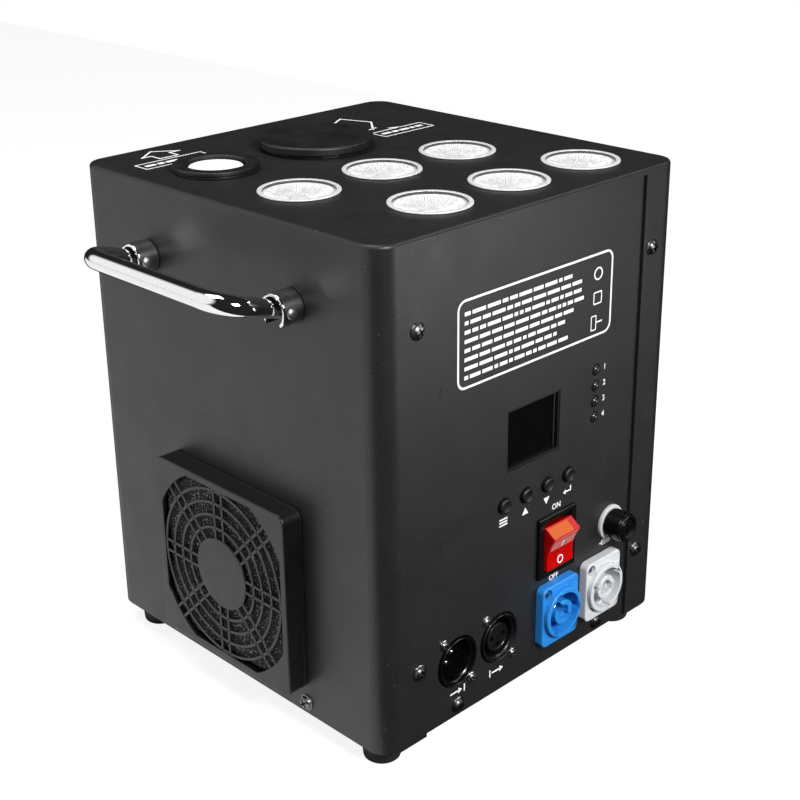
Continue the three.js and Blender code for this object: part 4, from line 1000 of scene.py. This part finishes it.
class Panels(bpy.types.Operator):
    """Cuts the control panel and rounds the rear panel and base"""

    bl_idname = "spark.panels"
    bl_label = "Panels"

    def execute(self, context):
        low, high = node_box("front_panel")
        half, centre = (high - low) / 2, (low + high) / 2
        face = facing("front", 0, low.y, 0)
        sheet = plate(half.x, half.z, 0.3, -1.2, 0, face, 0.15, v=centre.z)
        window = middle("display_module")
        cuts = [
            plate(17.2, 14.1, 0.4, -3, 1, face, u=window.x, v=window.z),
            plate(11.2, 13.7, 0.4, -3, 1, face, u=middle("switch_body").x, v=SWITCH_LEVEL),
        ]
        x = middle("indicator_lights").x
        cuts += [rod(2.8, -3, 1, face, u=x, v=level) for level in lamp_levels()]
        holes = [(f"button_{i}", 3.7, 48) for i in range(1, 5)] + [
            ("fuse_holder", 6.5, 64), ("dmx_in_socket", 12.1, 64), ("dmx_out_socket", 12.1, 64),
            ("mains_inlet", 11.6, 64), ("mains_outlet", 11.6, 64),
        ]
        for node, radius, sides in holes:
            cuts.append(rod(radius, -3, 1, face, sides, middle(node).x, middle(node).z))
        soften(change(sheet, cuts), 0.15, 2, 60)

        # The ends of four hexagonal standoffs show in front, and their bodies stand behind
        shift, reach = -0.95, 55.25
        studs = [(shift + side * reach, level) for side in (-1, 1) for level in (97.5, 166)]
        for radius, bottom, top in ((2.9, -0.5, 0.14), (3, -9.5, -1)):
            merge(sheet, *(rod(radius, bottom, top, face, 6, u, v) for u, v in studs))
        deliver(sheet, "control_panel_sheet", "powder_coated_steel", "front_panel")
        for node, name in (("rear_panel", "rear_panel_sheet"), ("base_plate", "base_tray")):
            deliver(polished(node), name, "powder_coated_steel", node)
        return {"FINISHED"}


class Feet(bpy.types.Operator):
    """Moulds the four rubber feet round their screws"""

    bl_idname = "spark.feet"
    bl_label = "Feet"

    def execute(self, context):
        profile = [(0, 5), (3.5, 5), (3.5, 0, 0.5), (8.1, 0, 1.5), (8.5, 5.2), (8.2, 5.6, 0.2), (8.6, 6),
                   (8.9, 10.7, 0.6), (2.5, 10.7), (2.5, 17.2), (0, 17.2)]
        spots = [middle(node) for node in FOOT_NODES]
        feet = [turned(profile, facing("top", spot.x, spot.y, 0)) for spot in spots]
        deliver(merge(*feet), "rubber_feet", "moulded_rubber", FOOT_NODES)
        return {"FINISHED"}


class Handles(bpy.types.Operator):
    """Bends the chromed handles and turns their cups and rivets"""

    bl_idname = "spark.handles"
    bl_label = "Handles"

    def execute(self, context):
        chosen = settings().handles
        spacing, drop, reach, bend = lengths(chosen, "spacing", "drop", "reach", "bend")
        thick, thin = lengths(chosen, "bar", "leg")
        side_y, pivot_out, bore = spacing / 2, 7, 1.8

        # The leg starts in the cup, runs out, bends and crosses to the other leg
        run = [0.6 * k - 3 for k in range(31)]
        half = [Vector((x, -side_y, 0)) for x in run if x < reach - bend]
        for k in range(25):
            t = QUARTER_TURN * k / 24
            half.append(
                Vector((reach - bend + bend * math.sin(t), -side_y + bend - bend * math.cos(t), 0))
            )
        span = side_y - bend
        straight = [Vector((reach, -span + 2 * span * k / 24, 0)) for k in range(1, 24)]
        points = half + straight + [Vector((p.x, -p.y, 0)) for p in reversed(half)]

        # It widens from the leg's radius to the bar's, and narrows at both ends
        radii = []
        for point in points:
            share = min(max((point.x - 3.6) / (reach - bend - 3.6), 0), 1)
            radii.append(thin + (thick - thin) * share * share * (3 - 2 * share))
        for k, part in enumerate((0.35, 0.7, 0.9)):
            radii[k] *= part
            radii[-1 - k] *= part

        cup = [(0, 1.5), (5.9, 1.5, 0.5), (5.9, 10.6, 0.45), (7.3, 10.6, 0.9), (7.3, 0.9), (7.0, 0.3),
               (2.5, 0.3), (2.5, -5.2), (0, -5.2)]
        rivet = [(0, -8.8), (1.2, -8.65), (2.1, -8.2), (2.5, -7.6, 0.15), (1.5, -7.6), (1.5, 7.6),
                 (2.5, 7.6, 0.15), (2.1, 8.2), (1.2, 8.65), (0, 8.8)]
        low, high = node_box("outer_cover")
        for side, wall, turn in (("left", low.x, 180), ("right", high.x, 0)):
            root = spun(Matrix.Translation((wall, (low.y + high.y) / 2, high.z - drop)), turn)
            pivot = moved(root, pivot_out) @ Matrix.Rotation(-chosen.tilt, 4, "Y")
            bar = sweep(points, radii, pivot, 40)
            change(bar, [rod(bore, -side_y - 6, side_y + 6, spun(pivot, -90, "X"), 24)])
            deliver(bar, f"{side}_handle_chrome_bar", "chromed_steel", f"{side}_handle_bar",
                    f"{side}_handle")

            cups, rivets = [], []
            for y in (-side_y, side_y):
                place = moved(root, 0, y)
                across = spun(moved(place, pivot_out), -90, "X")
                piece = turned(cup, spun(place, 90, "Y"), 64, 4)
                slit = box((3, y - 4.2, -8.4), (12, y + 4.2, 0), root)
                cups.append(soften(change(piece, [slit, rod(bore, -9, 9, across, 24)]), 0.2, 2, 50))
                rivets.append(turned(rivet, across, 32))
            cups = merge(*cups)
            rim = (abs(wall) + 9.75) * MM
            bosses, pins = (
                [f"{side}_handle_{kind}_{end}" for end in ("front", "rear")] for kind in ("boss", "rivet")
            )
            deliver(cups, f"{side}_handle_cups", ["smoked_zinc_casting", "chromed_steel"], bosses)
            paint_faces(cups, 1, lambda spot, way: abs(spot.x) > rim)
            deliver(merge(*rivets), f"{side}_handle_rivets", "zinc_plated_steel", pins)
        return {"FINISHED"}


class FanGuard(bpy.types.Operator):
    """Moulds the guard with its grille, and fills it with foam"""

    bl_idname = "spark.fan_guard"
    bl_label = "Fan guard"

    def execute(self, context):
        chosen = settings().guard
        finish = "moulded_abs_guard"
        centre = middle("fan_guard_cover")
        place = facing("left", node_box("outer_cover")[0].x, centre.y, centre.z)
        outside, inside, back, front = 43.75, 41.35, 8.6, 10.5
        shell = plate(outside, outside, 5, 2.3, front, place, 0.7, steps=4)

        # The window is a square whose corners are cut by a circle
        square, reach = 40.5, 46
        cross = math.degrees(math.acos(square / reach))
        window = []
        for quarter in range(4):
            for k in range(9):
                turn = math.radians(90 * quarter + cross + (90 - 2 * cross) * k / 8)
                window.append((reach * math.cos(turn), reach * math.sin(turn)))
        room = box((-inside, -inside, 1), (inside, inside, back), place)
        change(shell, [room, prism(window, 8, 12, place)])
        soften(shell, 0.3, 2, 50)
        rim = chosen.disc / MM
        disc = turned([(0, back), (rim, back), (rim, front, 0.35), (0, front)], place, 96)
        bars = grow(
            grille_tree(),
            {"Disc": chosen.disc - 1 * MM, "First ring": chosen.first, "Ring pitch": chosen.pitch,
             "Rings": chosen.rings, "Width": chosen.width, "Depth": 1.4 * MM, "Edge": 0.3 * MM,
             "Spacing": chosen.gap, "Half pairs": chosen.pairs // 2, "Straight reach": 41.2 * MM,
             "Diagonal reach": 46.6 * MM, "Finish": bpy.data.materials[finish]},
            at=moved(place, w=9.8),
        )
        deliver(shell, "guard_cover_shell", finish, "fan_guard_cover", "guard_cover")
        deliver(merge(disc, bars), "guard_grille", finish, (), "guard_cover")
        deliver(polished("fan_guard_frame"), "guard_frame", finish, "fan_guard_frame")

        # The foam swells into the window, and its front is uneven by a few tenths of a millimetre
        half, steps = 39.3, 110
        bm = bmesh.new()
        bmesh.ops.create_grid(bm, x_segments=steps, y_segments=steps, size=half)
        for corner in bm.verts:
            spot = corner.co * 1.3
            shows = max(abs(corner.co.x), abs(corner.co.y)) < 39.2 and corner.co.length < 45
            level = 8.5 if shows else 7.8
            corner.co.z = level + 0.35 * noise.noise(spot) + 0.2 * noise.noise(spot * 2.3)
        skirt = bmesh.ops.extrude_face_region(bm, geom=bm.faces)
        for item in skirt["geom"]:
            if isinstance(item, bmesh.types.BMVert):
                item.co.z = 2.35
        deliver(as_object(bm, place), "filter_foam", "open_cell_foam", "fan_filter", sharp=80)
        return {"FINISHED"}


class TopFittings(bpy.types.Operator):
    """Makes the lenses, the spark outlet and the hopper's lid"""

    bl_idname = "spark.top_fittings"
    bl_label = "Top fittings"

    def execute(self, context):
        chosen = settings().lights
        top = node_box("outer_cover")[1].z
        bowl = chosen.bowl / MM
        profile = [
            (0, -13), (15.6, -13), (15.6, 0.3), (17.5, 0.3), (17.5, 0.9, 0.4), (15.5, 0.9, 0.3),
            (15.3, -0.45), (14.9, -0.6), (11, -2.3), (5.2, -bowl + 0.1), (4.7, -bowl, 0.1),
            (4.4, -bowl + 0.9, 0.3), (3.2, -bowl + 1.7, 0.6), (0, -bowl + 2.0),
        ]
        places = [top_place(node) for node in LENS_NODES]
        lens = merge(*(turned(profile, place, 72, 4) for place in places))
        deliver(lens, "lamp_lenses", ["lens_acrylic", "lens_wall"], LENS_NODES)
        centres = [middle(node).xy * MM for node in LENS_NODES]

        # Painted shade: the upright inner wall of each rim gets the grey lens finish, for the shade that
        # falls there
        def inner_wall(spot, way):
            """Whether a face stands upright inside a lens's rim, and faces its middle."""
            upright = abs(way.z) < 0.35 and (top - 0.9) * MM < spot.z < (top + 0.6) * MM
            arms = [spot.xy - centre for centre in centres]
            return upright and any(arm.dot(way.xy) < 0 and arm.length < 15.6 * MM for arm in arms)

        paint_faces(lens, 1, inner_wall)
        ribs = grow(
            rib_tree(),
            {"Ribs": chosen.ribs, "Inner": (5.4 * MM, 0, (-bowl + 0.2) * MM),
             "Outer": (14.6 * MM, 0, -0.75 * MM), "Radius": 0.22 * MM,
             "Finish": bpy.data.materials["lens_acrylic"]},
            points_piece([(place, 1.0) for place in places]),
        )
        deliver(ribs, "lamp_lens_ribs", "lens_acrylic")

        place = top_place("nozzle_cap")
        ring = turned(
            [(13.4, -6), (16.7, -6), (16.7, 0.3), (18.4, 0.3, 0.1), (18.4, 1.1, 0.15), (17.8, 1.15),
             (17.8, 1.45), (19, 1.5, 0.2), (19, 3.3, 0.6), (13.9, 3.3, 0.3), (13.4, 2.6), (13.4, 0.4)],
            place, 96, 4, loop=True,
        )
        deliver(ring, "outlet_ring", "moulded_lid_black", "nozzle_ring")
        cap = turned([(0, -3.7), (10.2, -3.7), (10.2, 0.3), (12, 0.3), (12, 1.8, 0.4), (0, 1.8)], place, 96)
        deliver(cap, "outlet_white_cap", "polycarbonate_white", "nozzle_cap", "outlet_cap")
        lid = turned(
            [(0, 1.8), (18.2, 1.8), (18.2, -6), (19.7, -6), (19.7, 1.8), (26.7, 1.8, 0.4),
             (26.8, 5.3, 1.1), (25.2, 5.5, 0.6), (20, 5.42), (0, 5.3)],
            top_place("hopper_lid"), 128, 5,
        )
        deliver(lid, "hopper_lid_moulding", "moulded_lid_black", "hopper_lid", "lid")
        return {"FINISHED"}


class Readouts(bpy.types.Operator):
    """Makes the display, the indicator lamps and the push buttons"""

    bl_idname = "spark.readouts"
    bl_label = "Display, lamps and buttons"

    def execute(self, context):
        place = panel_spot("display_module")
        rim = plate(16.9, 13.8, 0.5, -9.2, -0.3, place, 0.2)
        change(rim, [plate(16.3, 13.2, 0.4, -2.7, 1, place)])
        merge(rim, box((14.7, -13.1, -2.2), (15.5, 13.1, -1.5), place))
        deliver(soften(rim, 0.1, 2, 60), "display_surround", "display_black", "display_module")
        pane = plate(15.6, 12.9, 0.4, -2.75, -2.1, place, 0.15)
        deliver(pane, "display_pane", "display_glass")

        low, high = node_box("indicator_lights")
        rail = plate(3, (high.z - low.z) / 2, 0.5, -9.2, -6.8, panel_spot("indicator_lights"), 0.3)
        arc = [QUARTER_TURN * k / 10 for k in range(1, 10)]
        dome = [(2.5 * math.sin(t), 2.5 * math.cos(t) - 1) for t in arc]
        lamp = [(0, 1.5), *dome, (2.5, -1), (2.5, -9), (0, -9)]
        x = middle("indicator_lights").x
        lamps = [turned(lamp, panel_place(x, level), 40) for level in lamp_levels()]
        deliver(merge(rail, *lamps), "indicator_lamps", "epoxy_lamp_grey", "indicator_lights")

        button = [(0, 1.75), (2.3, 1.8), (2.55, 1.9, 0.15), (3.4, 1.65, 0.5), (3.4, -1.5), (4.6, -1.5),
                  (4.6, -2.7), (2, -2.7), (2, -4), (0, -4)]
        for i, body in enumerate(("first_button", "second_button", "third_button", "fourth_button"), 1):
            cap = turned(button, panel_spot(f"button_{i}"), 48, 4)
            deliver(cap, f"{body}_cap", "moulded_button_black", f"button_{i}", body)
        return {"FINISHED"}


class Switch(bpy.types.Operator):
    """Makes the rocker switch"""

    bl_idname = "spark.switch"
    bl_label = "Rocker switch"

    def execute(self, context):
        body_x = middle("switch_body").x
        place = panel_place(body_x, SWITCH_LEVEL)
        bezel = plate(12.7, 15.2, 0.8, 0.3, 2.0, place, 0.5)
        change(bezel, [plate(10.9, 13.4, 0.6, -24, 0.8, place)], "UNION")
        change(bezel, [plate(9.3, 12.7, 0.5, -14, 4, place)])
        blades = [
            box((-3.15, 9 * k - 0.4, -30), (3.15, 9 * k + 0.4, -23.5), place) for k in (-1, 0, 1)
        ]
        merge(soften(bezel, 0.2, 2, 60), *blades)
        deliver(bezel, "switch_bezel", "glossy_abs_black", "switch_body")

        # Across the paddle: a hollow face between two crests, and two slopes down to the shoulders
        valley, crest_v, crest_w, shoulder_v, shoulder_w = 7.4, 8.83, 9.27, 11.6, 2.9

        def face(v):
            return valley + (crest_w - valley) * abs(v / crest_v) ** 1.6

        pivot = spun(Matrix.Translation((body_x, -85.5, 71.5)), 12, "X") @ facing("front", 0, 0, 0)
        outline = [(v, face(v)) for v in (crest_v * k / 12 for k in range(-12, 13))]
        outline += [(shoulder_v, shoulder_w), (7, -3.5), (-7, -3.5), (-shoulder_v, shoulder_w)]
        rocker = as_object(loft([[(x, v, w) for v, w in outline] for x in (-9, 9)]), pivot)
        soften(rocker, 0.35, 3, 35)
        deliver(rocker, "rocker_paddle", "rocker_red", "switch_rocker", "rocker")

        # Light is painted on the paddle: an orange patch on the top slope for light through the translucent
        # top, over a lip painted brighter red as a painted highlight, and a pale painted reflection on the
        # hollow face; the marks are print
        slope = Vector((0, shoulder_v - crest_v, shoulder_w - crest_w)).normalized()
        across = Vector((0, -slope.z, slope.y))
        crest = Vector((0, crest_v, crest_w))

        def on_slope(u, v, h):
            return pivot @ (crest + Vector((u, 0, 0)) + slope * v + across * (h + 0.01))

        def on_face(u, v, h):
            return pivot @ Vector((u, v, face(v) + h + 0.01))

        def strip(left, right, low, high, steps):
            """A band between two levels, in steps that follow a curved face."""
            rows = [low + (high - low) * k / steps for k in range(steps + 1)]
            return [block(left, right, a, b) for a, b in zip(rows, rows[1:])]

        ring = line([(a, b - 5.6) for a, b in circle(1.75, 32)], 0.55, True)
        for name, finish, shapes, at, height in (
            ("lamp_patch", "rocker_orange", strip(-8.6, 4.8, 0.4, 6.0, 1), on_slope, 0.05),
            ("lip", "rocker_bright", strip(-8.5, 8.5, 6.9, 8.6, 3), on_face, 0.05),
            ("glint", "rocker_pale", strip(-7.6, 8.4, 0.6, 5.6, 6), on_face, 0.04),
            ("marks", "screen_ink", ring + strip(-0.35, 0.35, 1.2, 4.8, 6), on_face, 0.08),
        ):
            deliver(flat(shapes, at, height), f"rocker_{name}", finish, (), "rocker")
        return {"FINISHED"}


class Fuse(bpy.types.Operator):
    """Makes the fuse holder, its knob and the fuse"""

    bl_idname = "spark.fuse"
    bl_label = "Fuse"

    def execute(self, context):
        place = panel_spot("fuse_holder")
        holder = turned(
            [(0, -32.5), (6.2, -32.5, 0.5), (6.2, 0.3), (8.4, 0.3), (8.4, 1.9, 0.5), (5.5, 1.9, 0.2),
             (5.5, -6.5), (2.9, -6.5), (2.9, -22.8), (0, -22.8)],
            place, 72,
        )
        deliver(holder, "fuse_collar", "nylon_pale_grey", "fuse_holder")
        knob = turned(
            [(0, -2.2), (2.9, -2.2), (2.9, -5.5), (5.2, -5.5), (5.2, 2.2), (7.1, 2.2, 0.2),
             (7.0, 10.2, 0.2), (6.5, 10.5, 0.1), (6.5, 11.5, 0.45), (5.1, 11.5, 0.3), (4.9, 10.6, 0.1),
             (3.9, 10.5), (3.7, 10.9, 0.15), (0, 10.9)],
            place, 72, 4,
        )
        change(knob, [plate(u, v, 0.2, 10.2, 13, place) for u, v in ((3.2, 0.5), (0.5, 3.2))])
        deliver(knob, "fuse_knob_moulding", "socket_black", "fuse_cap", "fuse_knob")
        tube = turned([(0, -22.5), (2.6, -22.5, 0.3), (2.6, -2.5, 0.3), (0, -2.5)], place, 32)
        deliver(tube, "fuse_cartridge", ["fuse_glass", "nickel_plated_brass"], "fuse", "fuse_link")

        # The two ends of the glass tube are metal caps
        front = node_box("front_panel")[0].y
        paint_faces(tube, 1, lambda spot, way: not (front + 8) * MM < spot.y < (front + 17) * MM)
        return {"FINISHED"}


class Sockets(bpy.types.Operator):
    """Makes the signal sockets and the mains sockets"""

    bl_idname = "spark.sockets"
    bl_label = "Sockets"

    def execute(self, context):
        contacts = [(3.7 * math.cos(t), 3.7 * math.sin(t)) for t in (0, math.pi, math.pi * 3 / 2)]
        rim = [(0, -24), (11.3, -24), (11.3, 1.0, 0.35), (10.5, 1.0, 0.3)]
        throats = {
            "in": [(10.1, -0.7, 0.2), (9.7, -0.7, 0.1), (9.3, -1.1, 0.2), (9.3, -14), (0, -14)],
            "out": [(10.1, -0.4, 0.2), (9.6, -0.5, 0.1), (9.3, -0.9, 0.15), (9.3, -12), (6.6, -12),
                    (6.6, -0.7, 0.3), (6.1, -0.7, 0.1), (5.9, -0.95, 0.1), (0, -0.95)],
        }
        for kind, throat in throats.items():
            node = f"dmx_{kind}_socket"
            place = panel_spot(node)
            low, high = node_box(node)
            flange = plate((high.x - low.x) / 2, (high.z - low.z) / 2, 3, -3.3, -1.5, place, 0.3)
            change(flange, [rod(11, -5, 1, place, 96)])
            shell = turned(rim + throat, place, 96, 4)
            if kind == "in":
                ridge = box((-0.9, -9.6, -9), (0.9, -8.5, -0.6), place)
                deliver(merge(shell, flange, ridge), "signal_in_shell", "socket_black", node)
                pin = [(0, -14), (1.25, -14), (1.25, -6.6, 0.8), (0, -6.3)]
                pins = [turned(pin, moved(place, u, v), 24) for u, v in contacts]
                deliver(merge(*pins), "signal_in_pins", "nickel_plated_brass")
            else:
                holes = [rod(1.4, -10, 3, place, 32, u, v) for u, v in contacts]
                change(shell, [*holes, plate(3, 2, 0.4, -5, 3, place, v=8.9)])
                merge(soften(shell, 0.15, 2, 60), flange)
                deliver(shell, "signal_out_shell", "moulded_insert_black", node)

        # Each mains socket has its own turn of the key cuts, and its own width of the core's slot
        for node, finish, turn, wide in (
            ("mains_inlet", "nylon_blue", -50, 1.9), ("mains_outlet", "nylon_white", -10, 0.7),
        ):
            place = panel_spot(node)
            flange = plate(12.5, 15.2, 3, 0.3, 4.5, place, 0.7, steps=4)
            collar = [(0, -24), (11.3, -24), (11.3, 2), (12, 2), (12, 7.0, 0.6), (0, 7.0)]
            change(flange, [turned(collar, place, 96, 4)], "UNION")
            sink = [(0, 1.2), (2.5, 1.2), (2.7, 5.4), (0, 5.4)]
            cuts = [rod(9.9, -10, 9, place, 96)]
            cuts += [turned(sink, moved(place, u, v), 40) for u, v in MAINS_SCREWS]
            for key in (45, 165, 285):
                cuts.append(box((9.0, -1.6, 2.2), (11.0, 1.6, 9), spun(place, turn + key)))
            soften(change(flange, cuts), 0.3, 2, 50)

            # The core stands level with the collar; its wall is cut for the key of a plug
            spin = spun(place, turn)
            core = turned(
                [(0, -10.5), (5.9, -10.5), (5.9, 6.4, 0.5), (3.4, 6.4, 0.4), (3.4, -6), (0, -6)], place, 64, 4
            )
            slot = box((-7, -wide, -3.5), (-2.5, wide, 8), spin)
            soften(change(core, [slot, box((2.0, -1.7, 3.4), (4.6, 1.7, 8), spin)]), 0.2, 2, 50)
            rib = box((5.5, -0.7, -9), (10.1, 0.7, 3.6), spin)
            eyelet = turned(
                [(2.5, 4.3), (2.5, 4.75, 0.1), (2.9, 4.75, 0.1), (2.9, 4.3)], moved(place, 8.9, 11.6), 40,
                loop=True,
            )
            deliver(merge(flange, core, rib, eyelet), f"{node}_moulding", finish, node)
            contact = plate(1.1, 2.4, 0.4, -6, 1.5, spin, 0.3)
            deliver(contact, f"{node}_contact", "nickel_plated_brass")
        return {"FINISHED"}


class Screws(bpy.types.Operator):
    """Sets every screw in its place"""

    bl_idname = "spark.screws"
    bl_label = "Screws"

    def execute(self, context):
        low, high = node_box("outer_cover")
        panel_y = node_box("front_panel")[0].y
        centre_y = (low.y + high.y) / 2
        full, hem = settings().case.screw / MM, 16.5
        dark, bright = [], []
        for z in (196.2, 45):
            dark += [(facing("front", x, low.y, z), full) for x in (-72.7, 74.7)]
            dark += [(facing("rear", x, high.y, z), full) for x in (-73.7, 73.7)]
        for x in (-47.6, 47.6):
            dark.append((facing("front", x, panel_y, hem), full))
            dark.append((facing("rear", x, high.y - 1.5, hem), full))
        for side, x in (("left", low.x), ("right", high.x)):
            dark += [(facing(side, x, centre_y + y, hem), full) for y in (-46.2, 46.2)]
        dark += [(facing("under", middle(node).x, middle(node).y, 4.9), 3.1) for node in FOOT_NODES]
        for nodes, spots, y, radius in (
            (("dmx_in_socket", "dmx_out_socket"), ((-8.3, 11.6), (8.9, -11.9)), panel_y, 2.6),
            (("mains_inlet", "mains_outlet"), MAINS_SCREWS, panel_y - 2.3, 2.3),
        ):
            for spot in map(middle, nodes):
                bright += [(panel_place(spot.x + u, spot.z + v, y), radius) for u, v in spots]

        # One pan head with a cross recess, drawn with a radius of one
        head = turned(
            [(0, -0.2), (1.0, -0.2), (1.0, 0.12, 0.05), (0.84, 0.17, 0.04), (0.8, 0.36, 0.12),
             (0.56, 0.56, 0.1), (0, 0.62)],
            None, 40, 3,
        )
        arms = [box((-u, -v, 0.2), (u, v, 1)) for u, v in ((0.56, 0.13), (0.13, 0.56))]
        change(head, [*arms, turned([(0, 0.12), (0.16, 0.2), (0.24, 1), (0, 1)], None, 16)])
        spin = random.Random(7)
        for name, spots, finish in (
            ("case_screws", dark, "black_zinc_screws"), ("socket_screws", bright, "nickel_plated_screws"),
        ):
            places = [
                (place @ Matrix.Rotation(spin.uniform(0, QUARTER_TURN), 4, "Z"), radius)
                for place, radius in spots
            ]
            screws = grow(
                scatter_tree(), {"Part": head, "Finish": bpy.data.materials[finish]}, points_piece(places)
            )
            deliver(screws, name, finish, sharp=30)
        bpy.data.objects.remove(head)
        return {"FINISHED"}


class Prints(bpy.types.Operator):
    """Prints plain numbers, arrows, frames and ruled lines"""

    bl_idname = "spark.prints"
    bl_label = "Prints"

    def execute(self, context):
        y = node_box("front_panel")[0].y
        shapes = drawn((rectangle(48.6, 18.5, 4, 0.15, 182.4), 1.0, True))

        # Eight ruled lines, each broken into short bars of different length
        spin = random.Random(3)
        first, pitch, left, space = 195.2, 3.86, -44.8, 1.1
        for row, end in enumerate((21.5, 29, 28, 32, 23, 19, 14, 22.5)):
            v = first - pitch * row
            u = left
            while u < end - 2:
                width = min(spin.choice((2.2, 3.4, 4.6, 6.2, 7.8)), end - u)
                shapes.append(block(u, u + width, v - 0.8, v + 0.8))
                u += width + space
        shapes += drawn(
            (circle(2.6, 32, 39.3, 192), 0.7, True),
            (rectangle(2.6, 2.6, 0.4, 39.4, 181), 0.6, True),
            (rectangle(1.6, 3.2, 0.3, 37.2, 169.8), 0.5, True),
            ([(39, 169.8), (43, 169.8)], 0.7),
        )

        # Marks under the buttons: list, up, down and enter
        first, up, down, enter = (middle(f"button_{i}").x for i in range(1, 5))
        v = 94.6
        shapes += drawn(*[([(first - 2.6, v + k), (first + 2.6, v + k)], 0.7) for k in (-1.4, 0, 1.4)])
        shapes += drawn(([(enter + 2.4, v + 1.6), (enter + 2.4, v - 0.6), (enter - 1.2, v - 0.6)], 0.7))
        shapes += [
            [(up - 2, v - 1.5), (up + 2, v - 1.5), (up, v + 1.7)],
            [(down, v - 1.7), (down + 2, v + 1.5), (down - 2, v + 1.5)],
            [(enter - 2.8, v - 0.6), (enter - 0.9, v - 1.9), (enter - 0.9, v + 0.7)],
        ]

        # A fuse's symbol, and arrows that lead in or out through a gate
        shapes += drawn(
            (rectangle(2.9, 1.1, 0.2, 53, 57.4), 0.45, True), ([(48.4, 57.4), (57.6, 57.4)], 0.45)
        )
        for node, v, gate in (("dmx_in_socket", 23.2, 4.4), ("dmx_out_socket", 21.9, -5.6),
                              ("mains_inlet", 20.6, 4.4), ("mains_outlet", 20.6, -5.6)):
            u = middle(node).x
            shapes.append([(u + 0.6, v - 1.5), (u + 3.0, v), (u + 0.6, v + 1.5)])
            shapes += drawn(
                ([(u - 4.5, v), (u + 1.0, v)], 0.8), ([(u + gate, v - 1.8), (u + gate, v + 1.8)], 0.7)
            )
        layers = [flat(shapes, facing("front", 0, y, 0))]
        x = middle("switch_body").x
        numbers = [(str(k), 46.6, level - 0.2) for k, level in enumerate(lamp_levels(), 1)]
        for text, u, v in (("ON", x + 0.4, 89.4), ("OFF", x, 53.9), *numbers):
            layers.append(words(text, facing("front", u, y, v)))
        deliver(merge(*layers), "panel_prints", "screen_ink")

        # On top: a plain frame and rising arrow at the outlet, and a scoop at the hopper
        shapes = drawn(
            (rectangle(16.2, 4.9, 0.3, 50, 39.9), 0.7, True),
            ([(27, 68), (45, 79), (51, 63), (40, 50)], 0.9),
            ([(24.6, 66), (29.4, 72.6)], 0.9),
            ([(31, 58), (38, 51), (44, 52)], 0.8),
            ([(47, 47), (53, 45)], 1.2),
            (rectangle(18, 4.6, 0.3, -62.5, 71.3), 0.7, True),
            ([(-65, 78.5), (-55, 78.5), (-55, 85), (-50, 85), (-60, 92.5), (-70, 85), (-65, 85)], 0.9, True),
        )
        for v, bars in (
            (40, ((36.5, 42), (43.2, 47), (48.2, 54), (55.2, 57.6), (58.8, 63))),
            (71.3, ((-78, -72.5), (-71.4, -68), (-66.9, -60), (-58.9, -55), (-53.9, -47.5))),
        ):
            shapes += [block(near, far, v - 1.2, v + 1.2) for near, far in bars]
        top = facing("top", 0, 0, node_box("outer_cover")[1].z)
        deliver(flat(shapes, top), "top_prints", "screen_ink")
        return {"FINISHED"}


OPERATORS = (
    Finishes, FrameFinishes, Stage, Cover, Panels, Feet, Handles, FanGuard, TopFittings, Readouts,
    Switch, Fuse, Sockets, Screws, Prints,
)


class MachinePanel(bpy.types.Panel):
    """The machine's pieces and settings"""

    bl_idname = "VIEW3D_PT_spark_machine"
    bl_label = "Cold spark machine"
    bl_space_type = "VIEW_3D"
    bl_region_type = "UI"
    bl_category = "Spark machine"

    def draw(self, context):
        for kind in OPERATORS:
            self.layout.operator(kind.bl_idname)
        for group in ("case", "handles", "guard", "lights", "panel", "stage"):
            part = self.layout.box()
            part.label(text=group.capitalize())
            chosen = getattr(context.scene.spark_machine, group)
            for name in chosen.__annotations__:
                part.prop(chosen, name)


CLASSES = (
    CaseSettings, HandleSettings, GuardSettings, LightSettings, PanelSettings, StageSettings,
    MachineSettings, *OPERATORS, MachinePanel,
)


def register():
    for kind in CLASSES:
        bpy.utils.register_class(kind)
    bpy.types.Scene.spark_machine = PointerProperty(type=MachineSettings)


def unregister():
    del bpy.types.Scene.spark_machine
    for kind in reversed(CLASSES):
        bpy.utils.unregister_class(kind)


def main():
    register()
    for kind in OPERATORS:
        getattr(bpy.ops.spark, kind.bl_idname.removeprefix("spark."))()


if __name__ == "__main__":
    main()
